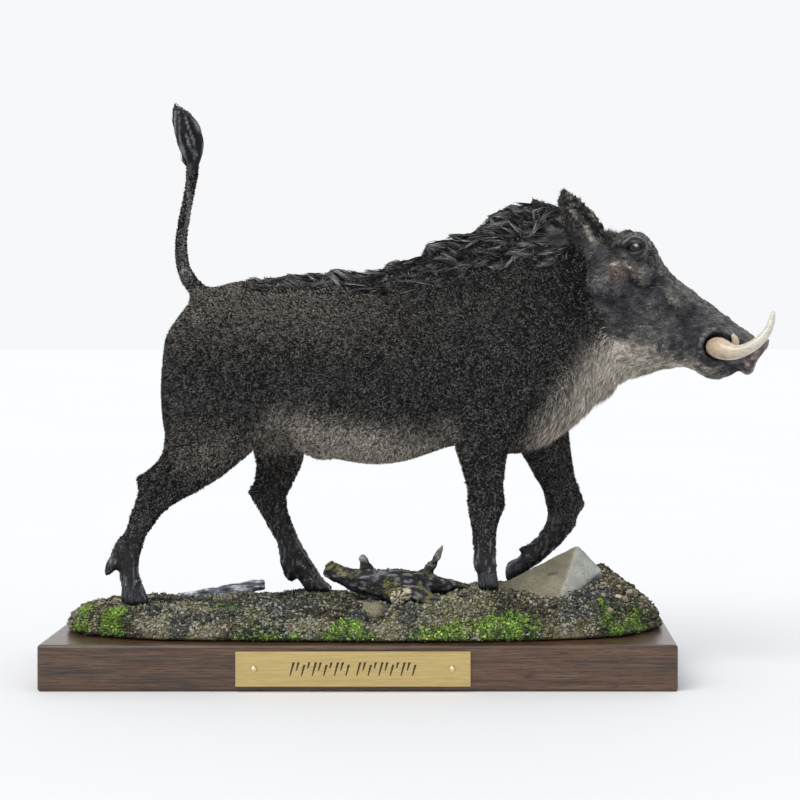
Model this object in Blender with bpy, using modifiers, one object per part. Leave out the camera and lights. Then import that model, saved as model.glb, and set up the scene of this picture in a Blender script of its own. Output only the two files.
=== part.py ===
"""A warthog figurine: a cast animal striding over a strip of groundwork on a wooden plinth.

Metres, +Z up. The origin is the middle of the plinth's underside, +X runs to the end that the
animal faces, and -Y is the plinth's front, which carries the nameplate. The animal and the things
on the ground are drawn in figure units, counted from the middle of the plinth's top face. The
figure is FIGURE_UNITS long from rump to snout.
"""

import math

import bmesh
import bpy
from mathutils import Matrix, Vector, noise

MM = 0.001

# Plinth
PLINTH_LENGTH = 220 * MM
PLINTH_DEPTH = 92 * MM
PLINTH_HEIGHT = 16 * MM
PLINTH_EDGE_ROUND = 1.0 * MM

# Nameplate and its two pins
PLATE_LENGTH = 80.5 * MM
PLATE_HEIGHT = 12 * MM
PLATE_THICKNESS = 0.8 * MM
PLATE_OFF_CENTRE = 1.5 * MM
PIN_INSET = 6.3 * MM
PIN_HEAD_RADIUS = 1.1 * MM
PIN_SHANK_RADIUS = 0.45 * MM
PIN_LENGTH = 6 * MM
PIN_CLEARANCE = 0.1 * MM

# Animal
FIGURE_LENGTH = 222 * MM
FIGURE_UNITS = 222
UNIT = FIGURE_LENGTH / FIGURE_UNITS
HEAD_TURN = math.radians(8)
SCULPT_VOXEL = 0.75 * MM
BODY_TRIANGLES = 5300
BRANCH_TRIANGLES = 520
BRANCH_BED_TRIANGLES = 260

# Groundwork
GROUND_MARGIN = 1.6 * MM
GROUND_RIM = 0.7 * MM
GROUND_POINTS = 48

# What touches stays this far apart
FIT_GAP = 0.3 * MM

# Colours are red, green and blue from 0 to 1
WALNUT = (0.075, 0.035, 0.022)
BRASS = (0.62, 0.46, 0.17)
FUR = (0.045, 0.042, 0.042)
IVORY = (0.72, 0.63, 0.47)
SOIL = (0.12, 0.095, 0.06)
STONE = (0.30, 0.30, 0.26)
BARK = (0.06, 0.055, 0.05)
GREY_BARK = (0.17, 0.19, 0.21)


def clear_scene():
    for thing in list(bpy.data.objects):
        bpy.data.objects.remove(thing)


def make_collection(name):
    collection = bpy.data.collections.new(name)
    bpy.context.scene.collection.children.link(collection)
    return collection


def make_material(name, colour, roughness, metallic=0.0):
    material = bpy.data.materials.new(name)
    material.use_nodes = True
    shader = material.node_tree.nodes["Principled BSDF"]
    shader.inputs["Base Color"].default_value = (*colour, 1.0)
    shader.inputs["Roughness"].default_value = roughness
    shader.inputs["Metallic"].default_value = metallic
    return material


def make_object(name, mesh, collection, material=None):
    thing = bpy.data.objects.new(name, mesh)
    collection.objects.link(thing)
    if material:
        mesh.materials.append(material)
    return thing


def object_from_bmesh(name, shape, collection, material=None):
    mesh = bpy.data.meshes.new(name)
    bmesh.ops.recalc_face_normals(shape, faces=shape.faces)
    shape.to_mesh(mesh)
    shape.free()
    return make_object(name, mesh, collection, material)


def applied(thing):
    """The object's modifiers become its mesh."""
    graph = bpy.context.evaluated_depsgraph_get()
    mesh = bpy.data.meshes.new_from_object(thing.evaluated_get(graph))
    thing.modifiers.clear()
    thing.data = mesh
    return thing


def keep_one_body(thing):
    """Removes the closed bubbles that a remesh leaves inside overlapping forms."""
    shape = bmesh.new()
    shape.from_mesh(thing.data)
    shape.verts.ensure_lookup_table()
    unseen = set(range(len(shape.verts)))
    bodies = []
    while unseen:
        waiting = [unseen.pop()]
        body = set(waiting)
        while waiting:
            vertex = shape.verts[waiting.pop()]
            for edge in vertex.link_edges:
                other = edge.other_vert(vertex).index
                if other in unseen:
                    unseen.discard(other)
                    body.add(other)
                    waiting.append(other)
        bodies.append(body)
    largest = max(bodies, key=len)
    extra = [vertex for vertex in shape.verts if vertex.index not in largest]
    bmesh.ops.delete(shape, geom=extra, context="VERTS")
    shape.to_mesh(thing.data)
    shape.free()


def cut_with(thing, cutter):
    cutter.hide_render = True
    cutter.display_type = "WIRE"
    cut = thing.modifiers.new("Cut by " + cutter.name, "BOOLEAN")
    cut.operation = "DIFFERENCE"
    cut.object = cutter


def shade_smooth(thing, angle=math.radians(40)):
    thing.data.shade_smooth()
    thing.data.set_sharp_from_angle(angle=angle)


def eased(share):
    share = min(max(share, 0.0), 1.0)
    return share * share * (3 - 2 * share)


def read_table(table, at):
    """The row of a table at a place between its rows, eased from row to row.

    The first column is the place.
    """
    rows = sorted(table)
    if at <= rows[0][0]:
        return rows[0][1:]
    for low, high in zip(rows, rows[1:]):
        if at <= high[0]:
            share = eased((at - low[0]) / (high[0] - low[0]))
            return tuple(a + (b - a) * share for a, b in zip(low[1:], high[1:]))
    return rows[-1][1:]


def curve_value(p, q, r, s, t):
    """The value at share t of the way from q to r, on the smooth curve through p, q, r and s."""
    slope = (r - p) / 2
    bend = p - 2.5 * q + 2 * r - s / 2
    twist = 1.5 * (q - r) + (s - p) / 2
    return q + slope * t + bend * t * t + twist * t**3


def smoothed(rows, steps=3):
    """More rows along the smooth curve through every column of a table."""
    found = []
    for i in range(len(rows) - 1):
        before, after = rows[max(i - 1, 0)], rows[min(i + 2, len(rows) - 1)]
        for step in range(steps):
            columns = zip(before, rows[i], rows[i + 1], after)
            found.append(tuple(curve_value(*column, step / steps) for column in columns))
    return [*found, rows[-1]]


def add_loft(shape, rings):
    """Joins rings of equally many points with quads, and closes both ends."""
    made = [[shape.verts.new(point) for point in ring] for ring in rings]
    count = len(made[0])
    for low, high in zip(made, made[1:]):
        for i in range(count):
            j = (i + 1) % count
            shape.faces.new((low[i], low[j], high[j], high[i]))
    shape.faces.new(made[0][::-1])
    shape.faces.new(made[-1])


def powered(value, square):
    return math.copysign(abs(value) ** (2 / square), value)


def upright_ring(x, top, bottom, half_width, widest=0.45, square=2.2, pinch=0.0, lean=0.0, count=40):
    """A cross-section that faces along X. widest is the share of the height where it is broadest,
    pinch narrows it towards the top, and lean carries the top forwards."""
    middle = bottom + (top - bottom) * widest
    ring = []
    for i in range(count):
        angle = 2 * math.pi * i / count
        up = powered(math.sin(angle), square)
        z = middle + up * (top - middle if up > 0 else middle - bottom)
        y = powered(math.cos(angle), square) * half_width * (1 - pinch * max(up, 0) ** 2)
        ring.append(Vector((x + lean * (z - middle), y, z)))
    return ring


def limb_ring(x, z, half_fore, half_side, y, angle, count=24, square=2.2):
    """A cross-section of a limb. Its fore-and-aft line is turned by angle, in degrees, out of the level."""
    turn = math.radians(angle)
    fore = Vector((math.cos(turn), 0, math.sin(turn)))
    ring = []
    for i in range(count):
        around = 2 * math.pi * i / count
        a = powered(math.cos(around), square) * half_fore
        b = powered(math.sin(around), square) * half_side
        ring.append(Vector((x, y, z)) + fore * a + Vector((0, b, 0)))
    return ring


def path_rings(points, radii, count=12, flat=1.0):
    """Round rings square to a path. flat squeezes them across the path's own bending plane."""
    rings = []
    side = None
    for i, point in enumerate(points):
        along = (points[min(i + 1, len(points) - 1)] - points[max(i - 1, 0)]).normalized()
        if side is None:
            side = along.cross(Vector((0, 0, 1)) if abs(along.z) < 0.9 else Vector((0, 1, 0)))
        side = (side - along * side.dot(along)).normalized()
        other = along.cross(side)
        rings.append(
            [
                point
                + side * math.cos(2 * math.pi * k / count) * radii[i]
                + other * math.sin(2 * math.pi * k / count) * radii[i] * flat
                for k in range(count)
            ]
        )
    return rings


def add_path(shape, rows, steps=3, count=12, flat=1.0):
    """A tapering tube. Each row is x, y, z and radius."""
    fine = smoothed(rows, steps)
    points = [Vector(row[:3]) for row in fine]
    add_loft(shape, path_rings(points, [max(row[3], 0.05) for row in fine], count, flat))


def add_blob(shape, centre, radii, tilt=(0, 0, 0)):
    """An ellipsoid. tilt is a turn about X, Y and Z, in degrees."""
    turn = Matrix.Rotation(math.radians(tilt[2]), 4, "Z")
    turn @= Matrix.Rotation(math.radians(tilt[1]), 4, "Y")
    turn @= Matrix.Rotation(math.radians(tilt[0]), 4, "X")
    place = Matrix.Translation(centre) @ turn @ Matrix.Diagonal((*radii, 1))
    bmesh.ops.create_uvsphere(shape, u_segments=24, v_segments=16, radius=1, matrix=place)


def turned_with_head(point):
    """Where the bend of the neck carries a point, in figure units."""
    bend_start, bend_end, pivot = 66, 92, 80
    angle = -HEAD_TURN * eased((point.x - bend_start) / (bend_end - bend_start))
    from_pivot = Vector((point.x - pivot, point.y, 0))
    from_pivot.rotate(Matrix.Rotation(angle, 3, "Z"))
    return Vector((pivot + from_pivot.x, from_pivot.y, point.z))


def placed(point):
    """From figure units to the part's own frame."""
    return Vector(point) * UNIT + Vector((0, 0, PLINTH_HEIGHT))


# The animal's forms, in figure units. Trunk rows are x, top, bottom, half width, widest and pinch.
TRUNK = [
    (-74.0, 91, 79, 6, 0.50, 0.00),
    (-72.4, 103, 68, 13, 0.50, 0.05),
    (-68.5, 112.5, 61, 18, 0.48, 0.10),
    (-62, 119.5, 58, 21.5, 0.46, 0.20),
    (-54, 124, 59, 23.6, 0.46, 0.28),
    (-44, 126, 64, 24.0, 0.48, 0.32),
    (-32, 126.3, 70.5, 23.2, 0.46, 0.32),
    (-20, 126, 64.5, 24.2, 0.44, 0.32),
    (-8, 126, 60, 25.8, 0.43, 0.32),
    (4, 126.5, 58.5, 26.8, 0.43, 0.34),
    (16, 128.5, 60, 27, 0.43, 0.38),
    (27, 132, 64, 26.4, 0.43, 0.44),
    (36, 137, 66, 25.6, 0.42, 0.50),
    (46, 142.5, 63.6, 25.0, 0.41, 0.54),
    (54, 146, 62.0, 24.2, 0.41, 0.54),
    (62, 148, 64.0, 22.6, 0.41, 0.50),
    (70, 148.5, 67.4, 20.2, 0.42, 0.46),
    (76, 147.5, 71.5, 17.6, 0.43, 0.40),
    (83, 145, 78, 14.6, 0.45, 0.34),
    (90, 141, 86, 12.0, 0.48, 0.25),
    (97, 134, 95, 9, 0.50, 0.20),
]

# Head rows are x, top, bottom, half width, widest and pinch
SKULL = [
    (82, 140.6, 92, 12.5, 0.45, 0.10),
    (89, 142.6, 90.5, 14.2, 0.58, 0.10),
    (95, 143.4, 91.5, 14.4, 0.66, 0.10),
    (100, 143.4, 92.6, 13.8, 0.68, 0.12),
    (104, 140.6, 93.4, 12.8, 0.62, 0.15),
    (108, 133.4, 94.3, 11.4, 0.56, 0.20),
    (113, 127.0, 95.3, 10.0, 0.52, 0.28),
    (119, 122.6, 96.5, 9.2, 0.50, 0.30),
    (124, 118.8, 97.5, 9.0, 0.46, 0.32),
    (129, 114.8, 98.0, 8.8, 0.42, 0.34),
    (134, 111.0, 94.6, 8.2, 0.42, 0.30),
    (138, 108.4, 93.4, 7.4, 0.44, 0.22),
    (141.4, 106.4, 96.5, 7.0, 0.48, 0.12),
]
JAW = [
    (88, 116, 87.5, 9.5, 0.5, 0.0),
    (97, 112, 91.0, 9.5, 0.5, 0.0),
    (106, 106, 93.2, 8.8, 0.5, 0.0),
    (113, 102, 94.6, 7.6, 0.5, 0.0),
    (119, 100, 93.8, 6.8, 0.5, 0.0),
    (124, 99, 90.3, 6.4, 0.5, 0.0),
    (127.8, 98, 89.5, 6.0, 0.5, 0.0),
    (132.4, 96.6, 91.0, 4.8, 0.5, 0.0),
    (135.2, 95.4, 92.4, 2.8, 0.5, 0.0),
]
SNOUT_LEAN = 0.55
SNOUT_DISC = [
    (140.4, 104.6, 92.4, 7.0),
    (142.0, 105.3, 91.6, 7.9),
    (143.0, 105.0, 92.0, 7.6),
    (143.5, 103.4, 93.8, 5.8),
]

# Limb rows are x, z, half length fore and aft, half width, y and the tilt of the section in degrees
NEAR_HIND = [
    (-50, 92, 21, 11, -12, -8),
    (-50.5, 78, 20, 10.5, -14.5, -6),
    (-54.3, 67.1, 16.6, 9.4, -16.5, -6),
    (-59.4, 60.2, 12.8, 8.0, -18, -12),
    (-65.6, 55.4, 10.6, 6.4, -19, -22),
    (-71.4, 51.0, 8.2, 5.0, -19.8, -30),
    (-75.2, 46.0, 5.7, 4.2, -20.2, -26),
    (-77.7, 41.0, 4.5, 3.6, -20.6, -24),
    (-80.0, 36.0, 4.0, 3.3, -21, -22),
    (-81.7, 31.2, 3.9, 3.3, -21, -16),
    (-82.6, 26.0, 3.7, 3.5, -21, -6),
    (-82.7, 21.6, 3.5, 3.6, -21, 0),
    (-82.2, 17.6, 3.9, 3.8, -21, 0),
]
FAR_HIND = [
    (-42, 92, 20, 11, 12, 0),
    (-38, 78, 15.5, 10, 15, 0),
    (-34.0, 68, 11.2, 8.4, 16.5, 0),
    (-33.0, 62.1, 10.1, 7.4, 17.5, 0),
    (-33.1, 57.0, 8.9, 6.2, 18.2, -3),
    (-34.8, 51.5, 7.6, 5.2, 18.8, -3),
    (-36.8, 47.0, 7.2, 4.6, 19, 0),
    (-36.6, 43.4, 6.1, 4.1, 19, 6),
    (-35.0, 39.6, 5.1, 3.6, 19, 12),
    (-33.2, 35.6, 4.6, 3.4, 19, 16),
    (-31.1, 31.0, 4.3, 3.3, 19, 16),
    (-29.2, 27.0, 4.3, 3.4, 19, 20),
    (-27.0, 22.8, 4.3, 3.6, 19, 28),
    (-24.6, 19.0, 3.9, 3.7, 19, 34),
    (-22.0, 15.4, 3.8, 3.7, 19, 36),
]
NEAR_FORE = [
    (46, 92, 18, 8.5, -15, 0),
    (45.5, 80, 15.5, 8.5, -17, 0),
    (43.6, 70, 12.0, 7.8, -18.6, 0),
    (42.6, 64, 9.6, 6.6, -19.6, -1),
    (43.2, 57.6, 7.9, 5.7, -20.4, -2),
    (44.2, 50.4, 6.8, 5.0, -21, -2),
    (44.4, 45.6, 7.4, 5.0, -21, 0),
    (43.9, 40.4, 5.3, 4.0, -21, 0),
    (43.7, 35.4, 4.4, 3.5, -21, 0),
    (43.7, 29.4, 3.9, 3.4, -21, 0),
    (43.9, 25.4, 4.1, 3.7, -21, 0),
    (44.6, 22.6, 4.3, 3.9, -21, 0),
]
FAR_FORE = [
    (56, 92, 17, 8.5, 14, 0),
    (60.6, 78, 13.6, 8.4, 16, 0),
    (64.9, 66, 10.4, 7.4, 17.2, 0),
    (66.9, 60.0, 9.0, 6.4, 18, 1),
    (68.8, 55.2, 7.7, 5.6, 18, 2),
    (71.0, 49.6, 6.6, 5.0, 18, 3),
    (72.6, 45.0, 6.6, 4.9, 18, 2),
    (72.9, 40.6, 5.8, 4.3, 18, -4),
    (71.8, 36.0, 5.0, 3.7, 18, -16),
    (69.3, 31.2, 4.4, 3.4, 18, -28),
    (66.0, 27.0, 4.0, 3.4, 18, -40),
    (62.2, 23.4, 3.7, 3.5, 18, -52),
    (58.4, 20.0, 3.3, 3.5, 18, -50),
]

# Where each hoof meets its leg (x, y, z), and where its sole runs (heel x, toe x, z)
HOOVES = {
    "near_hind": ((-82.0, -21, 18.4), (-85.6, -75.0, 10.4)),
    "far_hind": ((-22.6, 19, 16.4), (-24.4, -12.4, 9.7)),
    "near_fore": ((44.0, -21, 23.6), (40.4, 49.6, 15.6)),
}
TOE_APART = 2.3

# The folded forefoot: each toe's path (x, z and radius), and where its tip rests
FOLDED_TOE = [(61.0, 22.4, 2.8), (57.6, 19.6, 2.9), (54.9, 18.4, 3.5), (52.8, 15.4, 2.2), (51.9, 13.8, 1.0)]
FOLDED_TIP = (52.0, 18, 13.0)

# Dew claws, behind each fetlock: where they start, which way they point, how long and how thick they are
DEW_CLAWS = {
    "near_hind": ((-84.2, -21, 33.4), (-0.45, -0.89), 15.0, 2.3),
    "far_hind": ((-31.6, 19, 25.6), (0.24, -0.97), 13.4, 2.1),
    "near_fore": ((41.6, -21, 27.4), (-0.30, -0.95), 5.0, 1.5),
    "far_fore": ((65.0, 18, 27.2), (-0.985, -0.17), 9.8, 1.5),
}

TAIL = [
    (-55, 0, 117, 4.4),
    (-60.0, 0, 120.4, 3.8),
    (-62.8, 0, 123.6, 3.0),
    (-65.2, 0, 127.4, 2.6),
    (-66.9, 0, 132.2, 2.35),
    (-67.2, 0, 141.0, 2.1),
    (-65.6, 0, 150.4, 1.9),
    (-63.8, 0, 159.7, 1.8),
    (-62.6, 0, 167.4, 2.2),
    (-63.0, 0, 172.6, 3.6),
    (-64.0, 0, 178.0, 5.3),
    (-65.8, 0, 182.8, 4.6),
    (-68.4, 0, 187.4, 2.0),
    (-70.0, 0, 190.0, 0.4),
]

# Ear rows are the share of the way from base to tip, the half width and the depth of the cup
EAR_BASE = Vector((84.7, 11.5, 136.5))
EAR_TIP = Vector((71.6, 15.5, 159.6))
EAR_OPENS = Vector((0.50, 0.86, 0.10))
EAR_ROWS = [
    (0.0, 6.2, 4.8),
    (0.18, 8.2, 6.2),
    (0.40, 8.4, 6.6),
    (0.62, 7.0, 5.2),
    (0.82, 4.6, 2.8),
    (1.0, 1.2, 0.6),
]
EAR_THICKNESS = 2.4

# The forms that stand out from each side of the head: the middle, the radii and the tilt
FACE_FORMS = {
    "brow": ((98.2, 9.6, 137.4), (8.2, 5.6, 6.2), (14, 8, 0)),
    "eyeball": ((99.6, 12.2, 136.6), (3.6, 3.0, 3.1), (0, 0, 0)),
    "cheek pad": ((87.8, 12.8, 124.4), (9.4, 6.2, 7.2), (0, 8, 0)),
    "cheek ridge": ((93.4, 14.8, 128.6), (4.6, 3.8, 2.8), (20, -6, 0)),
    "cheek": ((86.0, 11.0, 117.0), (7.0, 5.0, 8.0), (0, 10, 0)),
    "wart": ((102.4, 11.0, 127.6), (5.2, 4.2, 4.2), (0, 24, 0)),
    "second wart": ((107.6, 9.4, 123.4), (4.6, 3.0, 3.4), (0, 44, 0)),
    "third wart": ((112.4, 8.6, 119.0), (4.0, 2.7, 2.6), (0, 36, 0)),
    "nose side": ((118.0, 7.0, 112.0), (7.5, 3.0, 4.0), (0, 40, 0)),
    "lip": ((127.8, 6.4, 102.6), (8.4, 5.2, 7.6), (0, 20, 0)),
    "nostril side": ((135.5, 5.6, 101.4), (6.0, 3.2, 4.2), (0, 20, 0)),
    "lower lip": ((125.5, 5.4, 95.8), (7.0, 3.2, 3.6), (0, 8, 0)),
    "jaw muscle": ((100, 8.0, 106), (14, 5.2, 10), (0, 20, 0)),
    "temple": ((83, 7.6, 131), (7, 5.4, 8), (0, 0, 0)),
}
FOREHEAD = ((97.6, 0, 136.2), (7.4, 11.5, 5.2))

# Forms on the trunk and the legs, and the two that lie on both of its sides
BODY_FORMS = {
    "rump": ((-70.0, 0, 96), (4.0, 9.0, 14), (0, 0, 0)),
    "breast": ((57, 0, 75), (16, 15, 11.5), (0, -18, 0)),
    "near hock": ((-77.4, -20, 54.6), (3.7, 3.2, 2.9), (0, 0, 0)),
    "far hock": ((-42.0, 18.6, 47.2), (3.4, 3.0, 3.2), (0, 0, 0)),
    "far knee": ((77.2, 18, 42.6), (3.2, 3.4, 3.2), (0, 0, 0)),
    "under the far knee": ((74.6, 18, 35.4), (2.8, 3.2, 2.6), (0, 0, 0)),
}
SHOULDER = ((44, 17.5, 98), (14, 8.6, 20), (0, 12, 0))
HAUNCH = ((-54, 15.5, 88), (15, 9.0, 22), (0, -10, 0))

# The sheath under the belly. Its rows are x, y, z and radius.
SHEATH = [(-26, 0, 68, 3.4), (-20, 0, 64.4, 3.4), (-15.6, 0, 61.8, 2.6), (-12.6, 0, 60.2, 1.4)]

# Upper tusk rows are x, distance from the head's middle, z and radius; the lower tusk's follow
UPPER_TUSK = [
    (126.7, 4.6, 102.2, 2.6),
    (127.2, 7.6, 101.8, 3.3),
    (128.4, 9.8, 101.7, 4.1),
    (130.2, 12.2, 101.1, 4.1),
    (132.7, 14.2, 100.2, 3.4),
    (135.6, 15.7, 99.9, 2.6),
    (138.9, 16.7, 101.0, 2.25),
    (142.0, 17.1, 102.8, 2.0),
    (144.8, 16.8, 105.2, 1.8),
    (146.8, 16.1, 108.1, 1.6),
    (147.9, 15.2, 111.2, 1.3),
    (148.4, 14.4, 114.0, 0.8),
    (148.5, 14.3, 114.6, 0.35),
]
LOWER_TUSK = [
    (132.4, 6.0, 98.2, 1.4),
    (134.4, 8.4, 100.4, 1.5),
    (135.2, 9.4, 103.2, 1.5),
    (134.8, 9.9, 105.0, 1.3),
    (133.9, 10.0, 106.4, 0.6),
]
SOCKET_MOUTH = (128.2, 11.6, 102.2)
SOCKET_RADII = (5.2, 4.4, 5.0)

# Mane rows are x, the mass's height over the back, its spread to each side, and a lock's length and lift
MANE = [
    (-44, 0.6, 2.5, 6.0, 4),
    (-30, 1.2, 4.0, 7.5, 8),
    (-12, 1.8, 5.5, 9.0, 9),
    (2, 1.6, 7.0, 10.0, 10),
    (12, 2.4, 8.5, 11.0, 14),
    (24, 3.6, 10.5, 12.0, 16),
    (38, 3.6, 12.5, 13.0, 18),
    (50, 5.4, 14.0, 14.0, 20),
    (62, 5.2, 14.5, 14.0, 12),
    (72, 4.4, 13.5, 13.0, 8),
    (80, 2.4, 10.5, 10.0, 10),
    (88, 0.6, 6.0, 6.0, 10),
]
MANE_FROM, MANE_TO, MANE_STEP = -40, 88, 5.2
LOCK_WIDTH = 3.3


def trunk_surface(x, y):
    """The height of the trunk's upper side at a place, in figure units."""
    top, bottom, half_width, widest, pinch = read_table(TRUNK, x)
    middle = bottom + (top - bottom) * widest
    for step in range(60):
        angle = math.pi / 2 * (1 - step / 60)
        up = powered(math.sin(angle), 2.15)
        if powered(math.cos(angle), 2.15) * half_width * (1 - pinch * up * up) >= abs(y):
            return middle + up * (top - middle)
    return middle


def add_upright(shape, rows, square, lean=0.0):
    rings = []
    for x, top, bottom, half_width, widest, pinch in smoothed(rows):
        rings.append(upright_ring(x, top, bottom, half_width, widest, square, pinch, lean))
    add_loft(shape, rings)


def add_limb(shape, rows):
    rings = []
    for x, z, half_fore, half_side, y, angle in smoothed(rows):
        rings.append(limb_ring(x, z, half_fore, half_side, y, angle))
    add_loft(shape, rings)


def add_toe(shape, leg, side):
    """One of a hoof's two toes, a wedge that widens down to a flat sole."""
    (x, y, z), (heel, tip, sole) = HOOVES[leg]
    low, half = (heel + tip) / 2, (tip - heel) / 2
    apart = side * TOE_APART
    rows = [
        (x, z + 3.0, 3.2, 2.1, y + apart * 0.5),
        (x + (low - x) * 0.45, z + (sole - z) * 0.4, 3.0 + (half - 3.0) * 0.35, 2.5, y + apart * 0.85),
        (low, sole + 1.4, half - 0.1, 2.8, y + apart),
        (low, sole, half - 0.3, 2.6, y + apart),
    ]
    add_loft(shape, [limb_ring(row[0], row[1], row[2], row[3], row[4], 0, 20) for row in rows])


def add_foot(shape, leg):
    (x, y, z), (dx, dz), length, thick = DEW_CLAWS[leg]
    for side in (-1, 1):
        if leg in HOOVES:
            add_toe(shape, leg, side)
        else:
            add_path(shape, [(row[0], y + side * TOE_APART, *row[1:]) for row in FOLDED_TOE])
        rows = []
        for share, radius in ((0, 1.0), (0.45, 1.0), (0.84, 0.85), (1, 0.45)):
            at = length * share
            rows.append((x + dx * at, y + side * (1.5 + share), z + dz * at, radius * thick))
        add_path(shape, rows)


def add_ear(shape, side):
    """A leaf rolled into a cup, opening forwards and outwards."""
    axis = (EAR_TIP - EAR_BASE).normalized()
    opens = (EAR_OPENS - axis * EAR_OPENS.dot(axis)).normalized()
    across = axis.cross(opens)
    rings = []
    for share, half_width, cup in smoothed(EAR_ROWS):
        middle = EAR_BASE.lerp(EAR_TIP, share)
        steps = 10
        outer, inner = [], []
        for i in range(steps + 1):
            s = -1 + 2 * i / steps
            wall = EAR_THICKNESS * (0.5 + 0.5 * (1 - s * s))
            point = middle + across * (s * half_width) - opens * cup * (1 - s * s)
            outer.append(point - opens * wall / 2)
            inner.append(point + opens * wall / 2)
        rings.append([Vector((p.x, p.y * side, p.z)) for p in outer + inner[::-1]])
    add_loft(shape, rings)


def add_side_form(shape, form, side):
    (x, y, z), radii, (roll, pitch, yaw) = form
    add_blob(shape, (x, side * y, z), radii, (side * roll, pitch, yaw))


def add_head(shape):
    add_upright(shape, SKULL, 2.3)
    add_upright(shape, JAW, 2.2)
    rings = []
    for x, top, bottom, half_width in smoothed(SNOUT_DISC):
        rings.append(upright_ring(x, top, bottom, half_width, 0.5, 2.4, 0, SNOUT_LEAN))
    add_loft(shape, rings)
    add_blob(shape, *FOREHEAD)
    for side in (-1, 1):
        for form in FACE_FORMS.values():
            add_side_form(shape, form, side)
        add_ear(shape, side)


def mane_surface(x, y):
    """The height of the mane's mass, which lies over the neck and the back."""
    mass, spread = read_table(MANE, x)[:2]
    return trunk_surface(x, y) + mass * max(1 - (y / spread) ** 2, 0)


def mane_locks():
    """Every lock of the mane as a short path: x, y, z and radius."""
    locks = []
    x = MANE_FROM
    while x <= MANE_TO:
        spread, length, lift = read_table(MANE, x)[1:]
        count = 2 * round(spread / LOCK_WIDTH) + 1
        for i in range(count):
            place = -1 + 2 * i / (count - 1)
            chance = noise.noise(Vector((x * 0.71, place * 3.3, 4.2)))
            other = noise.noise(Vector((x * 0.53, place * 2.9, 9.7)))
            start_x = x + 2.4 * other + (i % 2) * MANE_STEP / 2
            y = spread * place + 1.5 * chance
            reach = length * (0.8 + 0.7 * chance)
            rise = math.sin(math.radians(lift * (1.3 - 1.1 * abs(place)) + 36 * other))
            rows = []
            for share, radius in ((0, 1.2), (0.3, 2.3), (0.65, 1.9), (1, 0.5)):
                at = start_x - reach * share
                side = y + reach * share * (0.30 * place + 0.5 * chance)
                z = mane_surface(at, side) + reach * rise * share * share - 0.5
                rows.append((at, side, z, radius * (0.72 + 0.03 * length)))
            locks.append(rows)
        x += MANE_STEP
    return locks


def add_mane(shape):
    rings = []
    x = MANE_FROM - 6
    while x <= MANE_TO:
        mass, spread = read_table(MANE, x)[:2]
        upper = [Vector((x, spread * k / 5, mane_surface(x, spread * k / 5))) for k in range(-5, 6)]
        lower = [Vector((x, spread * k / 5, trunk_surface(x, spread * k / 5) - 3)) for k in range(5, -6, -1)]
        rings.append(upper + lower)
        x += 3
    add_loft(shape, rings)
    for rows in mane_locks():
        add_path(shape, rows, count=8, flat=0.75)


def animal_shape():
    """Every form of the animal, overlapping, in the part's own frame."""
    shape = bmesh.new()
    add_upright(shape, TRUNK, 2.15)
    for rows in (NEAR_HIND, FAR_HIND, NEAR_FORE, FAR_FORE):
        add_limb(shape, rows)
    for leg in DEW_CLAWS:
        add_foot(shape, leg)
    add_path(shape, TAIL, flat=0.85)
    add_path(shape, SHEATH)
    for form in BODY_FORMS.values():
        add_blob(shape, *form)
    for side in (-1, 1):
        add_side_form(shape, SHOULDER, side)
        add_side_form(shape, HAUNCH, side)
    add_head(shape)
    add_mane(shape)
    for vertex in shape.verts:
        vertex.co = placed(turned_with_head(vertex.co))
    return shape


def tusk_object(name, rows, side, collection, material=None, grow=0.0, steps=1, count=10):
    """A tusk, in one piece with its root. grow swells it for the socket that it sits in."""
    fine = smoothed(rows, steps)
    points = [placed(turned_with_head(Vector((x, side * y, z)))) for x, y, z, _ in fine]
    radii = [radius * UNIT + grow for *_, radius in fine]
    if grow:
        points[0] += (points[0] - points[1]).normalized() * 2 * grow
    shape = bmesh.new()
    add_loft(shape, path_rings(points, radii, count))
    return object_from_bmesh(name, shape, collection, material)


def socket_mouth(word, side, cutters):
    """The hollow in the lip that the upper tusk comes out of."""
    shape = bmesh.new()
    x, y, z = SOCKET_MOUTH
    add_blob(shape, (x, side * y, z), SOCKET_RADII, (0, 20, side * 25))
    for vertex in shape.verts:
        vertex.co = placed(turned_with_head(vertex.co))
    return object_from_bmesh(f"socket_mouth_{word}", shape, cutters)


def make_animal(collection, cutters, fur, ivory):
    animal = object_from_bmesh("warthog", animal_shape(), collection, fur)
    remesh = animal.modifiers.new("One skin", "REMESH")
    remesh.mode = "VOXEL"
    remesh.voxel_size = SCULPT_VOXEL
    smooth = animal.modifiers.new("Blended forms", "SMOOTH")
    smooth.factor = 0.5
    smooth.iterations = 5
    applied(animal)
    keep_one_body(animal)
    fewer = animal.modifiers.new("Fewer faces", "DECIMATE")
    fewer.ratio = BODY_TRIANGLES / (2 * len(animal.data.polygons))
    fewer.use_collapse_triangulate = True
    applied(animal)
    for side, word in ((-1, "right"), (1, "left")):
        for kind, rows in (("upper", UPPER_TUSK), ("lower", LOWER_TUSK)):
            name = f"{kind}_tusk_{word}"
            tusk = tusk_object(name, rows, side, collection, ivory)
            shade_smooth(tusk)
            cut_with(animal, tusk_object(name + "_socket", rows, side, cutters, grow=FIT_GAP))
        cut_with(animal, socket_mouth(word, side, cutters))
    shade_smooth(animal, math.radians(70))
    return animal


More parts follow.
